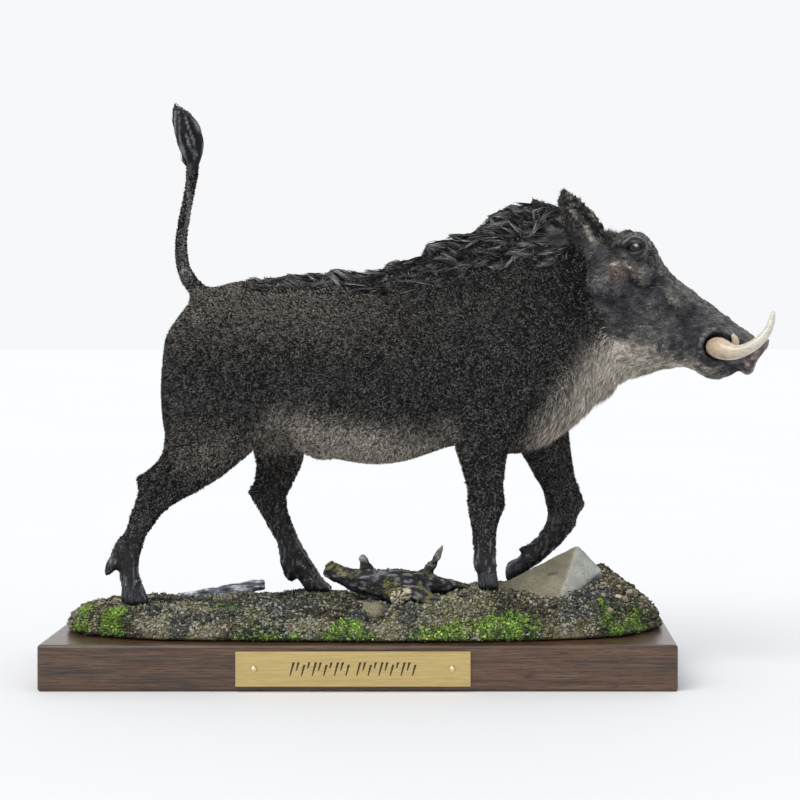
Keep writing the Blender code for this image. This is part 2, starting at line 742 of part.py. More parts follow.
def island_point(angle, share):
    """A point of the groundwork's outline, drawn in to a share of the way from its middle."""
    wobble = 1 + 0.012 * math.sin(5 * angle + 0.6) + 0.010 * math.sin(9 * angle + 2.0)
    half_length = PLINTH_LENGTH / 2 - GROUND_MARGIN
    half_depth = PLINTH_DEPTH / 2 - GROUND_MARGIN
    x = powered(math.cos(angle), 3.0) * half_length * min(wobble, 1) * share
    y = powered(math.sin(angle), 2.6) * half_depth * min(wobble - 0.06, 1) * share
    return x, y


# Ground rows are x and the height of the ground's middle, in figure units over the plinth's top
GROUND_HEIGHTS = [
    (-110, 6.0),
    (-100, 8.2),
    (-90, 9.0),
    (-70, 9.2),
    (-40, 9.4),
    (-15, 9.8),
    (10, 11.0),
    (30, 12.4),
    (48, 13.2),
    (60, 11.6),
    (70, 11.8),
    (78, 16.4),
    (86, 19.2),
    (94, 16.8),
    (100, 13.4),
    (105, 9.8),
    (110, 5.0),
]
GROUND_SHARES = (1.0, 0.985, 0.955, 0.91, 0.84, 0.75, 0.65, 0.54, 0.43, 0.32, 0.20, 0.07)
BANK_WIDTH = 15

# Towards the ends, the rim keeps more of the middle's height
RIM_SHARE = 0.24
RIM_SHARE_AT_ENDS = 0.50
ENDS_FROM, ENDS_BLEND = 70, 30

# Lumps in the soil, which fade out over LUMP_EDGE at the rim
LUMP_HEIGHT = 1.7
LUMP_EDGE = 10
LUMPS_AN_UNIT = (0.10, 0.24)

# Behind the animal the ground lies lower, as far along as the mound
BACK_DROP = 2.8
BACK_FROM, BACK_BLEND = 12, 16
MOUND_FROM, MOUND_BLEND = 60, 14

# The level pad under each hoof, and the slope around it
PAD_RADIUS = 8.5
PAD_BLEND = 8.0
PAD_LENGTHENED = 1.2


def footprints():
    """Where each hoof rests: x, y and the height of the ground over its own underside, in figure units."""
    found = [((heel + tip) / 2, y, sole) for (_, y, _), (heel, tip, sole) in HOOVES.values()]
    return [(x, y, z - 2 * FIT_GAP / UNIT) for x, y, z in [*found, FOLDED_TIP]]


def ground_height(x, y, inwards):
    """The ground's height over the plinth's top, in figure units. inwards is how far the rim is away."""
    (height,) = read_table(GROUND_HEIGHTS, x)
    rim = RIM_SHARE + (RIM_SHARE_AT_ENDS - RIM_SHARE) * eased((abs(x) - ENDS_FROM) / ENDS_BLEND)
    height *= rim + (1 - rim) * math.sin(min(inwards / BANK_WIDTH, 1) * math.pi / 2)
    broad, fine = LUMPS_AN_UNIT
    lump = noise.noise(Vector((x * broad, y * broad, 1.7)))
    lump += 0.6 * noise.noise(Vector((x * fine, y * fine, 5.1)))
    height += LUMP_HEIGHT * lump * eased(inwards / LUMP_EDGE)
    behind = eased((y - BACK_FROM) / BACK_BLEND)
    before_mound = 1 - eased((x - MOUND_FROM) / MOUND_BLEND)
    height -= BACK_DROP * behind * before_mound * eased(inwards / LUMP_EDGE)
    for foot_x, foot_y, foot_z in footprints():
        away = math.hypot((x - foot_x) / PAD_LENGTHENED, y - foot_y)
        near = 1 - eased((away - PAD_RADIUS) / PAD_BLEND)
        height += (foot_z - height) * near
    return height


def make_ground(collection, soil):
    """A low island of soil: rings run from the rim in to the middle, over a flat underside."""
    base = PLINTH_HEIGHT + FIT_GAP
    angles = [2 * math.pi * i / GROUND_POINTS for i in range(GROUND_POINTS)]
    rings = [[Vector((*island_point(angle, share), base)) for angle in angles] for share in (0.3, 0.985)]
    for share in GROUND_SHARES:
        ring = []
        for angle in angles:
            x, y = island_point(angle, share)
            inwards = math.hypot(x, y) * (1 - share) / share / UNIT
            rise = GROUND_RIM if share == 1 else ground_height(x / UNIT, y / UNIT, inwards) * UNIT
            ring.append(Vector((x, y, base + max(rise, GROUND_RIM))))
        rings.append(ring)
    shape = bmesh.new()
    add_loft(shape, rings)
    ground = object_from_bmesh("groundwork", shape, collection, soil)
    shade_smooth(ground, math.radians(60))
    return ground


# Corners of the stone, in figure units
STONE_CORNERS = [
    (77.6, -5, 29.8),
    (75.4, -12, 26.8),
    (56.0, -9, 19.8),
    (47.6, -11, 15.2),
    (50.0, -20, 8.0),
    (64.0, -25, 7.6),
    (69.4, -24, 9.6),
    (86.0, -12, 21.6),
    (86.6, -4, 13.0),
    (84.0, 5, 13.0),
    (70.0, 8, 16.0),
    (58.0, 4, 12.0),
    (60.0, -12, 4.0),
    (78.0, -8, 5.0),
]


def stone_shape(grow=0.0):
    shape = bmesh.new()
    middle = sum((Vector(c) for c in STONE_CORNERS), Vector()) / len(STONE_CORNERS)
    for corner in STONE_CORNERS:
        away = (Vector(corner) - middle).normalized() * grow
        shape.verts.new(placed(corner) + away)
    bmesh.ops.convex_hull(shape, input=shape.verts)
    bmesh.ops.dissolve_limit(shape, angle_limit=math.radians(6), verts=shape.verts, edges=shape.edges)
    return shape


# The fallen branch: a trunk, a root and three snags. Rows are x, y, z and radius.
BRANCH = {
    "trunk": [
        (-13.2, -13, 22.6, 3.1),
        (-8.5, -14, 20.4, 3.5),
        (0, -16, 17.4, 4.4),
        (9, -17, 16.9, 5.8),
        (17, -17, 17.3, 5.0),
        (25, -15, 16.6, 3.5),
        (32, -13, 15.6, 2.7),
        (37.6, -12, 14.8, 2.2),
    ],
    "cut_end": [(7, -15, 17, 3.6), (10.8, -20, 14.9, 4.2), (13.5, -24.6, 13.4, 4.0)],
    "root": [(14, -18, 17, 3.6), (20, -21.5, 14.6, 3.2), (26, -25, 10.4, 3.2), (31.5, -28, 6.0, 2.4)],
    "snag_back": [(3.5, -14, 19, 2.3), (0.9, -13, 23.6, 2.1), (-0.5, -12.5, 27.2, 1.6)],
    "snag_tall": [
        (19.5, -15, 18, 2.4),
        (23.6, -15, 21.6, 1.9),
        (26.6, -15.5, 26.6, 1.35),
        (28.8, -16, 31.6, 0.7),
    ],
}


def branch_mesh():
    """The forms of the fallen branch, overlapping."""
    shape = bmesh.new()
    for rows in BRANCH.values():
        fine = smoothed(rows, 2)
        points = [placed(row[:3]) for row in fine]
        add_loft(shape, path_rings(points, [row[3] * UNIT for row in fine], 10))
    return shape


def make_branch(name, collection, material, triangles, grow=0.0):
    branch = object_from_bmesh(name, branch_mesh(), collection, material)
    remesh = branch.modifiers.new("One piece", "REMESH")
    remesh.mode = "VOXEL"
    remesh.voxel_size = SCULPT_VOXEL
    smooth = branch.modifiers.new("Worn", "SMOOTH")
    smooth.iterations = 2
    applied(branch)
    keep_one_body(branch)
    if grow:
        swell = branch.modifiers.new("Swollen", "DISPLACE")
        swell.mid_level = 0
        swell.strength = grow
    fewer = branch.modifiers.new("Fewer faces", "DECIMATE")
    fewer.ratio = triangles / (2 * len(branch.data.polygons))
    fewer.use_collapse_triangulate = True
    return applied(branch)


# The grey stick's rows are x, y, z and radius
STICK = [
    (-70, 12, 7.6, 2.3),
    (-60, 13, 9.2, 2.7),
    (-50, 14, 10.9, 2.7),
    (-41, 15, 12.3, 2.5),
    (-38.2, 15.4, 12.7, 2.2),
]


def stick_shape(grow=0.0):
    fine = smoothed(STICK, 2)
    points = [placed(row[:3]) for row in fine]
    if grow:
        points[0] += (points[0] - points[1]).normalized() * 2 * grow
        points[-1] += (points[-1] - points[-2]).normalized() * 2 * grow
    shape = bmesh.new()
    add_loft(shape, path_rings(points, [row[3] * UNIT + grow for row in fine], 9, 0.92))
    return shape


def make_plinth(collection, walnut):
    shape = bmesh.new()
    size = Matrix.Diagonal((PLINTH_LENGTH, PLINTH_DEPTH, PLINTH_HEIGHT, 1))
    bmesh.ops.create_cube(shape, size=1, matrix=Matrix.Translation((0, 0, PLINTH_HEIGHT / 2)) @ size)
    plinth = object_from_bmesh("plinth", shape, collection, walnut)
    rounded = plinth.modifiers.new("Rounded edges", "BEVEL")
    rounded.width = PLINTH_EDGE_ROUND
    rounded.segments = 2
    applied(plinth)
    return plinth


def pin_places():
    reach = PLATE_LENGTH / 2 - PIN_INSET
    return {"left": -PLATE_OFF_CENTRE - reach, "right": -PLATE_OFF_CENTRE + reach}


def cylinder_along_y(radius, start, end, x, z, segments=9):
    shape = bmesh.new()
    place = Matrix.Translation((x, (start + end) / 2, z)) @ Matrix.Rotation(math.pi / 2, 4, "X")
    bmesh.ops.create_cone(
        shape,
        cap_ends=True,
        segments=segments,
        radius1=radius,
        radius2=radius,
        depth=end - start,
        matrix=place,
    )
    return shape


def make_nameplate(collection, cutters, plinth, brass):
    """The plate lies on the plinth's front, held by a domed pin near each end."""
    front = -PLINTH_DEPTH / 2 - FIT_GAP
    face = front - PLATE_THICKNESS
    z = PLINTH_HEIGHT / 2
    shape = bmesh.new()
    size = Matrix.Diagonal((PLATE_LENGTH, PLATE_THICKNESS, PLATE_HEIGHT, 1))
    place = Matrix.Translation((-PLATE_OFF_CENTRE, front - PLATE_THICKNESS / 2, z))
    bmesh.ops.create_cube(shape, size=1, matrix=place @ size)
    plate = object_from_bmesh("nameplate", shape, collection, brass)
    for word, x in pin_places().items():
        head = bmesh.new()
        dome = Matrix.Translation((x, face - FIT_GAP, z)) @ Matrix.Rotation(math.pi / 2, 4, "X")
        profile = [(PIN_SHANK_RADIUS, -PIN_LENGTH), (PIN_SHANK_RADIUS, 0.0), (PIN_HEAD_RADIUS, 0.0)]
        for a in (0.6, 1.2):
            profile.append((PIN_HEAD_RADIUS * math.cos(a), PIN_HEAD_RADIUS * 0.6 * math.sin(a)))
        add_loft(head, [pin_ring(dome, radius, height) for radius, height in profile])
        pin = object_from_bmesh(f"nameplate_pin_{word}", head, collection, brass)
        shade_smooth(pin)
        radius = PIN_SHANK_RADIUS + PIN_CLEARANCE
        through = cylinder_along_y(radius, face - 2 * MM, face + PIN_LENGTH + MM, x, z)
        hole = object_from_bmesh(f"pin_hole_{word}", through, cutters)
        cut_with(plate, hole)
        cut_with(plinth, hole)
    return plate


def pin_ring(dome, radius, height, count=9):
    angles = [2 * math.pi * i / count for i in range(count)]
    return [dome @ Vector((radius * math.cos(a), radius * math.sin(a), height)) for a in angles]


def main():
    clear_scene()
    collection = make_collection("warthog_figurine")
    cutters = make_collection("cutters")
    walnut = make_material("walnut", WALNUT, 0.4)
    brass = make_material("brass", BRASS, 0.35, 1.0)
    fur = make_material("painted fur", FUR, 0.85)
    ivory = make_material("ivory", IVORY, 0.3)
    soil = make_material("soil", SOIL, 0.95)
    stone = make_material("stone", STONE, 0.8)
    bark = make_material("bark", BARK, 0.8)
    grey_bark = make_material("grey bark", GREY_BARK, 0.75)

    plinth = make_plinth(collection, walnut)
    make_nameplate(collection, cutters, plinth, brass)
    make_animal(collection, cutters, fur, ivory)
    ground = make_ground(collection, soil)
    object_from_bmesh("stone", stone_shape(), collection, stone)
    cut_with(ground, object_from_bmesh("stone_bed", stone_shape(2 * FIT_GAP), cutters))
    shade_smooth(make_branch("fallen_branch", collection, bark, BRANCH_TRIANGLES))
    branch_bed = make_branch("branch_bed", cutters, None, BRANCH_BED_TRIANGLES, 2 * FIT_GAP)
    cut_with(ground, branch_bed)
    stick = object_from_bmesh("grey_stick", stick_shape(), collection, grey_bark)
    shade_smooth(stick)
    cut_with(ground, object_from_bmesh("stick_bed", stick_shape(FIT_GAP), cutters))


main()
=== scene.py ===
"""The looks of a warthog figurine on its plinth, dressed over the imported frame.

Lengths inside the script are in millimetres, in the frame's own axes. Figure places are counted
from the middle of the plinth's top. Head places are figure places with the head's turn taken out.
"""

import math

import bmesh
import bpy
import numpy as np
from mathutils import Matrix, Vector
from mathutils.bvhtree import BVHTree


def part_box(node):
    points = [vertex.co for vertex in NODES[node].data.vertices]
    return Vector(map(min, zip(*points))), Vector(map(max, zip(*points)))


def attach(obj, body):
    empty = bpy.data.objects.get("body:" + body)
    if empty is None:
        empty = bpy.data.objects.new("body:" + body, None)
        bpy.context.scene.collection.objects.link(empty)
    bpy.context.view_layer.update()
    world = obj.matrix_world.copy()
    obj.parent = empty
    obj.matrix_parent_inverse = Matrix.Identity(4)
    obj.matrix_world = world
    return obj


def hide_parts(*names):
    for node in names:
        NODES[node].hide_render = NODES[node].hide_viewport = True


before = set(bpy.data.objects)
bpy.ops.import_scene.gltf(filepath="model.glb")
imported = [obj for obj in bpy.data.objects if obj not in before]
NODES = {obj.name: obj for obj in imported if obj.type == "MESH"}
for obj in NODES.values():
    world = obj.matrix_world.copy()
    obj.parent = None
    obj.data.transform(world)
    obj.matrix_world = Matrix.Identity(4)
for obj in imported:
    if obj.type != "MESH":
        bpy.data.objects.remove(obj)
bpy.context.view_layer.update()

MM = 0.001
SEED = 11
PLINTH_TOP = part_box("plinth")[1][2] / MM

# The camera, worked out from the plinth's corners in the photograph
CAMERA_PLACE = (0.042, -0.754, 0.1292)
PHOTO_SIZE = 800
FOCAL_PIXELS = 2065
SENSOR = 36
SHIFT = (-0.1, -85 / PHOTO_SIZE)
LEVEL = (480, 315)

# The head's turn towards the camera
HEAD_TURN = math.radians(8)
HEAD_PIVOT = 80

# Landmarks of the head: x and z in head places
EYE = (99.4, 137.4)
EYE_RADIUS = 3.0
WART = (94.0, 128.6)
POUCH = (102.6, 127.6)
SOCKET = (129.0, 101.8)
SOCKET_RADIUS = 5.2

# Each hoof: its middle in x and y, the top of its horn and its reach
HOOVES = [(-80, -21, 17.5, 9), (-19, 19, 15.0, 9), (45, -21, 21.8, 8), (56, 18, 21.0, 8)]

# The mane's lower edge along the back: x and z in figure places
MANE_EDGE_X = (-48, -30, 0, 13, 28, 42, 56, 70, 84)
MANE_EDGE_Z = (123, 122, 121, 121.5, 126, 130, 133, 134.5, 137)

# Moss patches on the groundwork: x, y and the half sizes
MOSS = [
    (-99, -24, 4, 7), (-86, -31, 5, 5), (-32, -40.5, 11, 4.5), (-4, -40.5, 9, 4.5), (-49, -18, 6, 7),
    (28, -42, 11, 3.5), (51, -39, 14, 4.5), (94, -31, 9, 5), (101, -24, 6, 7), (-66, 41, 12, 3.5),
    (-12, 42, 16, 3.5), (40, 42, 14, 3.5), (88, 36, 10, 5),
]

random = np.random.default_rng(SEED)


# Small helpers for arrays

def rise(value, low, high):
    """0 below low, 1 above high and an eased step between them."""
    share = np.clip((value - low) / (high - low), 0, 1)
    return share * share * (3 - 2 * share)


def blob(distance, radius):
    return np.exp(-((distance / radius) ** 2))


def mixed(first, second, share):
    """From one colour or vector to another, by a share for each place."""
    return np.asarray(first) + (np.asarray(second) - np.asarray(first)) * np.asarray(share)[..., None]


def unit(vectors):
    return vectors / np.maximum(np.linalg.norm(vectors, axis=-1, keepdims=True), 1e-9)


def lattice(cells, seed):
    """A repeatable number from 0 to 1 for each whole-number cell."""
    whole = cells[:, 0] * 374761393 + cells[:, 1] * 668265263 + cells[:, 2] * 1440662683 + seed * 974711
    whole = (whole ^ (whole >> 13)) * 1274126177
    whole = whole ^ (whole >> 16)
    return (whole & 0xFFFF) / 65535.0


def noise(places, size, seed=0):
    """Smooth noise from -1 to 1 whose bumps are about size across; size may differ along x, y and z."""
    scaled = np.asarray(places) / np.asarray(size, dtype=float)
    low = np.floor(scaled).astype(np.int64)
    part = scaled - low
    part = part * part * (3 - 2 * part)
    total = np.zeros(len(scaled))
    for corner in range(8):
        step = np.array([corner & 1, corner >> 1 & 1, corner >> 2 & 1])
        weight = np.prod(np.where(step, part, 1 - part), axis=1)
        total += weight * lattice(low + step, seed)
    return total * 2 - 1


def line_distance(x, z, start, end):
    """How far places are from a line between two points of the side view."""
    along = np.array(end) - np.array(start)
    share = np.clip(((x - start[0]) * along[0] + (z - start[1]) * along[1]) / (along @ along), 0, 1)
    return np.hypot(x - start[0] - share * along[0], z - start[1] - share * along[1])


def mark(x, z, start, end, wide):
    """1 on a line between two points of the side view and 0 away from it."""
    return blob(line_distance(x, z, start, end), wide)


def away(x, z, middle, flat=1.0):
    """How far places are from a point of the side view; flat weighs the height."""
    return np.hypot(x - middle[0], (z - middle[1]) * flat)


def figure(places):
    """Figure places of frame places."""
    return places - np.array([0, 0, PLINTH_TOP])


def head(places):
    """Head places of figure places."""
    x, y, z = places[:, 0] - HEAD_PIVOT, places[:, 1], places[:, 2]
    turn, lean = math.cos(HEAD_TURN), math.sin(HEAD_TURN)
    return np.stack([HEAD_PIVOT + turn * x - lean * y, lean * x + turn * y, z], axis=1)


def turned_back(places):
    """Figure places of head places."""
    x, y, z = places[:, 0] - HEAD_PIVOT, places[:, 1], places[:, 2]
    turn, lean = math.cos(HEAD_TURN), math.sin(HEAD_TURN)
    return np.stack([HEAD_PIVOT + turn * x + lean * y, turn * y - lean * x, z], axis=1)


# Meshes

def link(obj):
    bpy.context.scene.collection.objects.link(obj)
    return obj


def mesh_object(name, points, faces, colours=None):
    """A smooth mesh object from millimetre points, with a colour for each point."""
    mesh = bpy.data.meshes.new(name)
    mesh.from_pydata((points * MM).tolist(), [], faces if isinstance(faces, list) else faces.tolist())
    mesh.polygons.foreach_set("use_smooth", np.ones(len(mesh.polygons), dtype=bool))
    if colours is not None:
        attribute = mesh.color_attributes.new("coat", "FLOAT_COLOR", "POINT")
        full = np.concatenate([np.clip(colours, 0, 1), np.ones((len(colours), 1))], axis=1)
        attribute.data.foreach_set("color", full.astype(np.float32).ravel())
    mesh.update()
    return link(bpy.data.objects.new(name, mesh))


def welded(name, node):
    """A new object with a copy of a CAD node's mesh, in which corners that meet are one."""
    mesh = NODES[node].data.copy()
    shape = bmesh.new()
    shape.from_mesh(mesh)
    bmesh.ops.remove_doubles(shape, verts=shape.verts, dist=0.002 * MM)
    shape.to_mesh(mesh)
    shape.free()
    return link(bpy.data.objects.new(name, mesh))


def finer(node, voxel, rounds, rounder=1):
    """Points and four-sided faces of a finer, smoother copy of a CAD node."""
    obj = welded("fine_" + node, node)
    mesh = obj.data
    if rounder:
        subdivision = obj.modifiers.new("rounder", "SUBSURF")
        subdivision.levels = subdivision.render_levels = rounder
    if voxel:
        remesh = obj.modifiers.new("finer", "REMESH")
        remesh.mode = "VOXEL"
        remesh.voxel_size = voxel * MM
    if rounds:
        smooth = obj.modifiers.new("smoother", "SMOOTH")
        smooth.factor = 0.5
        smooth.iterations = rounds
    done = obj.evaluated_get(bpy.context.evaluated_depsgraph_get()).to_mesh()
    points = np.empty(len(done.vertices) * 3)
    done.vertices.foreach_get("co", points)
    faces = np.array([tuple(face.vertices) for face in done.polygons])
    bpy.data.objects.remove(obj)
    bpy.data.meshes.remove(mesh)
    return points.reshape(-1, 3) / MM, faces


def triangles_of(faces):
    if faces.shape[1] == 3:
        return faces
    return np.concatenate([faces[:, [0, 1, 2]], faces[:, [0, 2, 3]]])


def normals_of(points, faces):
    """A unit normal for each point of a mesh."""
    triangles = triangles_of(faces)
    a, b, c = (points[triangles[:, i]] for i in range(3))
    flat = np.cross(b - a, c - a)
    total = np.zeros_like(points)
    for corner in range(3):
        for axis in range(3):
            total[:, axis] += np.bincount(triangles[:, corner], flat[:, axis], len(points))
    return unit(total)


def kept_part(points, faces, keep):
    """The points and faces of the part of a mesh whose faces are kept, and the kept points' numbers."""
    faces = faces[keep]
    used = np.unique(faces)
    number = np.zeros(len(points), dtype=np.int64)
    number[used] = np.arange(len(used))
    return points[used], number[faces], used


def scatter(points, faces, per_mm2, share=None):
    """Random places on a surface and its normals there; share thins them out by figure place."""
    triangles = triangles_of(faces)
    normals = normals_of(points, faces)
    a, b, c = (points[triangles[:, i]] for i in range(3))
    areas = np.linalg.norm(np.cross(b - a, c - a), axis=1) / 2
    if share is not None:
        areas = areas * share(figure((a + b + c) / 3))
    count = int(areas.sum() * per_mm2)
    chosen = triangles[random.choice(len(triangles), count, p=areas / areas.sum())]
    weights = random.random((count, 3)) ** 0.8
    weights /= weights.sum(axis=1, keepdims=True)
    places = sum(points[chosen[:, i]] * weights[:, i : i + 1] for i in range(3))
    directions = sum(normals[chosen[:, i]] * weights[:, i : i + 1] for i in range(3))
    return places, unit(directions)


def ribbons(name, guides, widths, across, colours, material):
    """Flat strands that taper along their guides, an array of strands by points by three."""
    count, steps = guides.shape[:2]
    half = widths[:, None, None] * np.linspace(1, 0.6, steps - 1)[None, :, None] / 2
    left = guides[:, :-1] - across[:, None] * half
    right = guides[:, :-1] + across[:, None] * half
    points = np.concatenate([left, right, guides[:, -1:]], axis=1).reshape(-1, 3)
    tints = np.concatenate([colours[:, :-1], colours[:, :-1], colours[:, -1:]], axis=1).reshape(-1, 3)
    side = steps - 1
    faces = []
    for i in range(side - 1):
        faces += [(i, side + i, side + i + 1), (i, side + i + 1, i + 1)]
    faces.append((side - 1, 2 * side - 1, 2 * side))
    each = (np.arange(count) * (2 * side + 1))[:, None, None]
    obj = mesh_object(name, points, (np.array(faces)[None] + each).reshape(-1, 3), tints)
    dress(obj, material)
    return obj


def dress(obj, *materials):
    obj.data.materials.clear()
    for material in materials:
        obj.data.materials.append(material)


def place(obj, slot, *nodes):
    """Puts a finished piece on the object, for the CAD nodes that it stands for; its slot is not used."""
    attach(obj, "root")
    if nodes:
        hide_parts(*nodes)


# Materials

def add(tree, kind, props=None, **inputs):
    """A shader node with its properties and its inputs, each a value or another node's output."""
    node = tree.nodes.new(kind)
    for name, value in (props or {}).items():
        setattr(node, name, value)
    for name, value in inputs.items():
        socket = node.inputs[name.replace("_", " ")]
        if isinstance(value, bpy.types.NodeSocket):
            tree.links.new(value, socket)
        else:
            socket.default_value = value
    return node


def blend(tree, share, first, second, kind="MIX"):
    """The colour between two colours."""
    node = tree.nodes.new("ShaderNodeMix")
    node.data_type = "RGBA"
    node.blend_type = kind
    for socket, value in ((0, share), (6, first), (7, second)):
        if isinstance(value, bpy.types.NodeSocket):
            tree.links.new(value, node.inputs[socket])
        else:
            node.inputs[socket].default_value = value if socket == 0 else (*value, 1)
    return node.outputs[2]


def grain(tree, size, detail=4.0, stretch=(1, 1, 1), rough=0.6):
    """Noise of the given size in millimetres on the object's own coordinates; stretch lengthens it."""
    coordinates = add(tree, "ShaderNodeTexCoord").outputs["Object"]
    scale = tuple(1 / (size * MM * part) for part in stretch)
    mapping = add(tree, "ShaderNodeMapping", Vector=coordinates, Scale=scale)
    vector = mapping.outputs[0]
    texture = add(tree, "ShaderNodeTexNoise", Vector=vector, Scale=1.0, Detail=detail, Roughness=rough)
    return texture.outputs["Fac"]


def ranged(tree, value, low, high, to_low=0.0, to_high=1.0):
    limits = {"From_Min": low, "From_Max": high, "To_Min": to_low, "To_Max": to_high}
    return add(tree, "ShaderNodeMapRange", Value=value, **limits).outputs["Result"]


def finish_material(tree, shader, colour, texture, rough, smooth, strength, depth, height=None):
    """Joins colour, roughness and bump to a shader; the bump follows the texture unless height is given."""
    tree.links.new(colour, shader.inputs["Base Color"])
    tree.links.new(ranged(tree, texture, 0.3, 0.7, rough, smooth), shader.inputs["Roughness"])
    bump = add(tree, "ShaderNodeBump", Height=height or texture, Strength=strength, Distance=depth * MM)
    tree.links.new(bump.outputs[0], shader.inputs["Normal"])


def layer(tree, colour, tone, texture, low, high, share):
    """Lays a tone over a colour where the texture is high."""
    return blend(tree, ranged(tree, texture, low, high, 0, share), colour, tone)


def painted_colour(tree):
    """The colour on the mesh's points."""
    return add(tree, "ShaderNodeAttribute", {"attribute_name": "coat"}).outputs["Color"]


def new_material(name, **fixed):
    material = bpy.data.materials.new(name)
    material.use_nodes = True
    shader = material.node_tree.nodes["Principled BSDF"]
    for key, value in fixed.items():
        shader.inputs[key.replace("_", " ")].default_value = value
    return material, material.node_tree, shader


def coat_material(name, roughness, size, low=0.6, high=1.4, bump=0.3, depth=0.2, stretch=(1, 1, 1), **fixed):
    """A surface whose painted colour is on its points, mottled, with grain of the given size."""
    material, tree, shader = new_material(name, **fixed)
    painted = painted_colour(tree)
    speck = grain(tree, size, 5.0, stretch)
    factor = ranged(tree, speck, 0.3, 0.7, low, high)
    tone = add(tree, "ShaderNodeCombineColor", Red=factor, Green=factor, Blue=factor).outputs[0]
    colour = blend(tree, 1.0, painted, tone, "MULTIPLY")
    finish_material(tree, shader, colour, speck, roughness + 0.12, roughness - 0.1, bump, depth)
    return material


def wood_material():
    gloss = {"Specular_IOR_Level": 0.5, "Coat_Weight": 0.3, "Coat_Roughness": 0.2}
    material, tree, shader = new_material("walnut", **gloss)
    broad = grain(tree, 5, 3.0, (14, 1, 0.7))
    fine = grain(tree, 0.9, 4.0, (30, 1, 0.8), 0.7)
    pores = grain(tree, 0.28, 2.0, (22, 1, 1))
    colour = blend(tree, ranged(tree, broad, 0.36, 0.64), (0.022, 0.0115, 0.0065), (0.090, 0.039, 0.017))
    colour = layer(tree, colour, (0.165, 0.095, 0.052), fine, 0.44, 0.72, 0.8)
    colour = layer(tree, colour, (0.009, 0.005, 0.004), pores, 0.54, 0.66, 0.85)
    finish_material(tree, shader, colour, fine, 0.42, 0.26, 0.3, 0.12)
    return material


def brass_material(name, colour, dark, roughness):
    material, tree, shader = new_material(name, Metallic=1.0)
    brushed = grain(tree, 0.25, 4.0, (40, 1, 1), 0.7)
    cloud = grain(tree, 9, 3.0)
    tone = blend(tree, ranged(tree, brushed, 0.3, 0.7), dark, colour)
    tone = blend(tree, ranged(tree, cloud, 0.35, 0.8, 0, 0.4), tone, tuple(part * 0.72 for part in colour))
    finish_material(tree, shader, tone, brushed, roughness + 0.1, roughness, 0.2, 0.05)
    return material


def ivory_material():
    """Tusk: a warm peach root that turns to a clear, whitish grey tip, with streaks along it."""
    material, tree, shader = new_material("ivory", Specular_IOR_Level=0.6, Subsurface_Weight=0.25,
                                          Subsurface_Scale=0.0015, Coat_Weight=0.35, Coat_Roughness=0.12)
    coordinates = add(tree, "ShaderNodeTexCoord").outputs["Object"]
    across = add(tree, "ShaderNodeSeparateXYZ", Vector=coordinates).outputs["X"]
    along = ranged(tree, across, 0.126, 0.141)
    streak = grain(tree, 0.9, 5.0, (5, 1, 1), 0.65)
    stain = grain(tree, 2.2, 4.0, (2, 1, 1))
    colour = blend(tree, along, (0.50, 0.375, 0.255), (0.56, 0.56, 0.50))
    colour = layer(tree, colour, (0.27, 0.20, 0.12), streak, 0.46, 0.72, 0.8)
    colour = layer(tree, colour, (0.66, 0.60, 0.50), stain, 0.45, 0.7, 0.45)
    finish_material(tree, shader, colour, streak, 0.3, 0.18, 0.12, 0.1)
    return material


def soil_material():
    material, tree, shader = new_material("soil", Specular_IOR_Level=0.2)
    painted = painted_colour(tree)
    middle = grain(tree, 2.4, 4.0)
    fine = grain(tree, 1.0, 5.0, rough=0.8)
    colour = layer(tree, painted, (0.010, 0.009, 0.008), fine, 0.50, 0.60, 0.9)
    colour = layer(tree, colour, (0.36, 0.33, 0.24), fine, 0.44, 0.34, 0.75)
    height = blend(tree, 0.5, middle, fine)
    finish_material(tree, shader, colour, fine, 0.95, 0.75, 1.0, 0.7, height)
    return material


def stone_material():
    material, tree, shader = new_material("stone", Specular_IOR_Level=0.3)
    painted = painted_colour(tree)
    broad = grain(tree, 7, 5.0)
    fine = grain(tree, 0.8, 5.0, rough=0.7)
    tone = blend(tree, ranged(tree, broad, 0.35, 0.65), (0.72, 0.70, 0.66), (1.1, 1.08, 1.0))
    tone = layer(tree, tone, (0.34, 0.32, 0.28), fine, 0.52, 0.66, 0.7)
    colour = blend(tree, 1.0, painted, tone, "MULTIPLY")
    finish_material(tree, shader, colour, fine, 0.8, 0.62, 0.4, 0.25)
    return material


def floor_material():
    material, tree, shader = new_material("floor", Specular_IOR_Level=0.15)
    cloud = grain(tree, 300, 2.0)
    other = tuple(part * 0.985 for part in FLOOR_TONE)
    colour = blend(tree, ranged(tree, cloud, 0.3, 0.7), FLOOR_TONE, other)
    finish_material(tree, shader, colour, cloud, 0.75, 0.7, 0.02, 0.1)
    return material


# Camera, light and floor
SKY = (0.925, 0.935, 0.95)
SKY_STRENGTH = 1.0
KEY_STRENGTH = 1.6
KEY_TONE = (1.0, 0.955, 0.885)
KEY_FROM = Vector((-0.45, -0.62, 0.95))
KEY_SPREAD = math.radians(44)
FLOOR_TONE = (0.745, 0.76, 0.79)
FLOOR_SIZE = 14


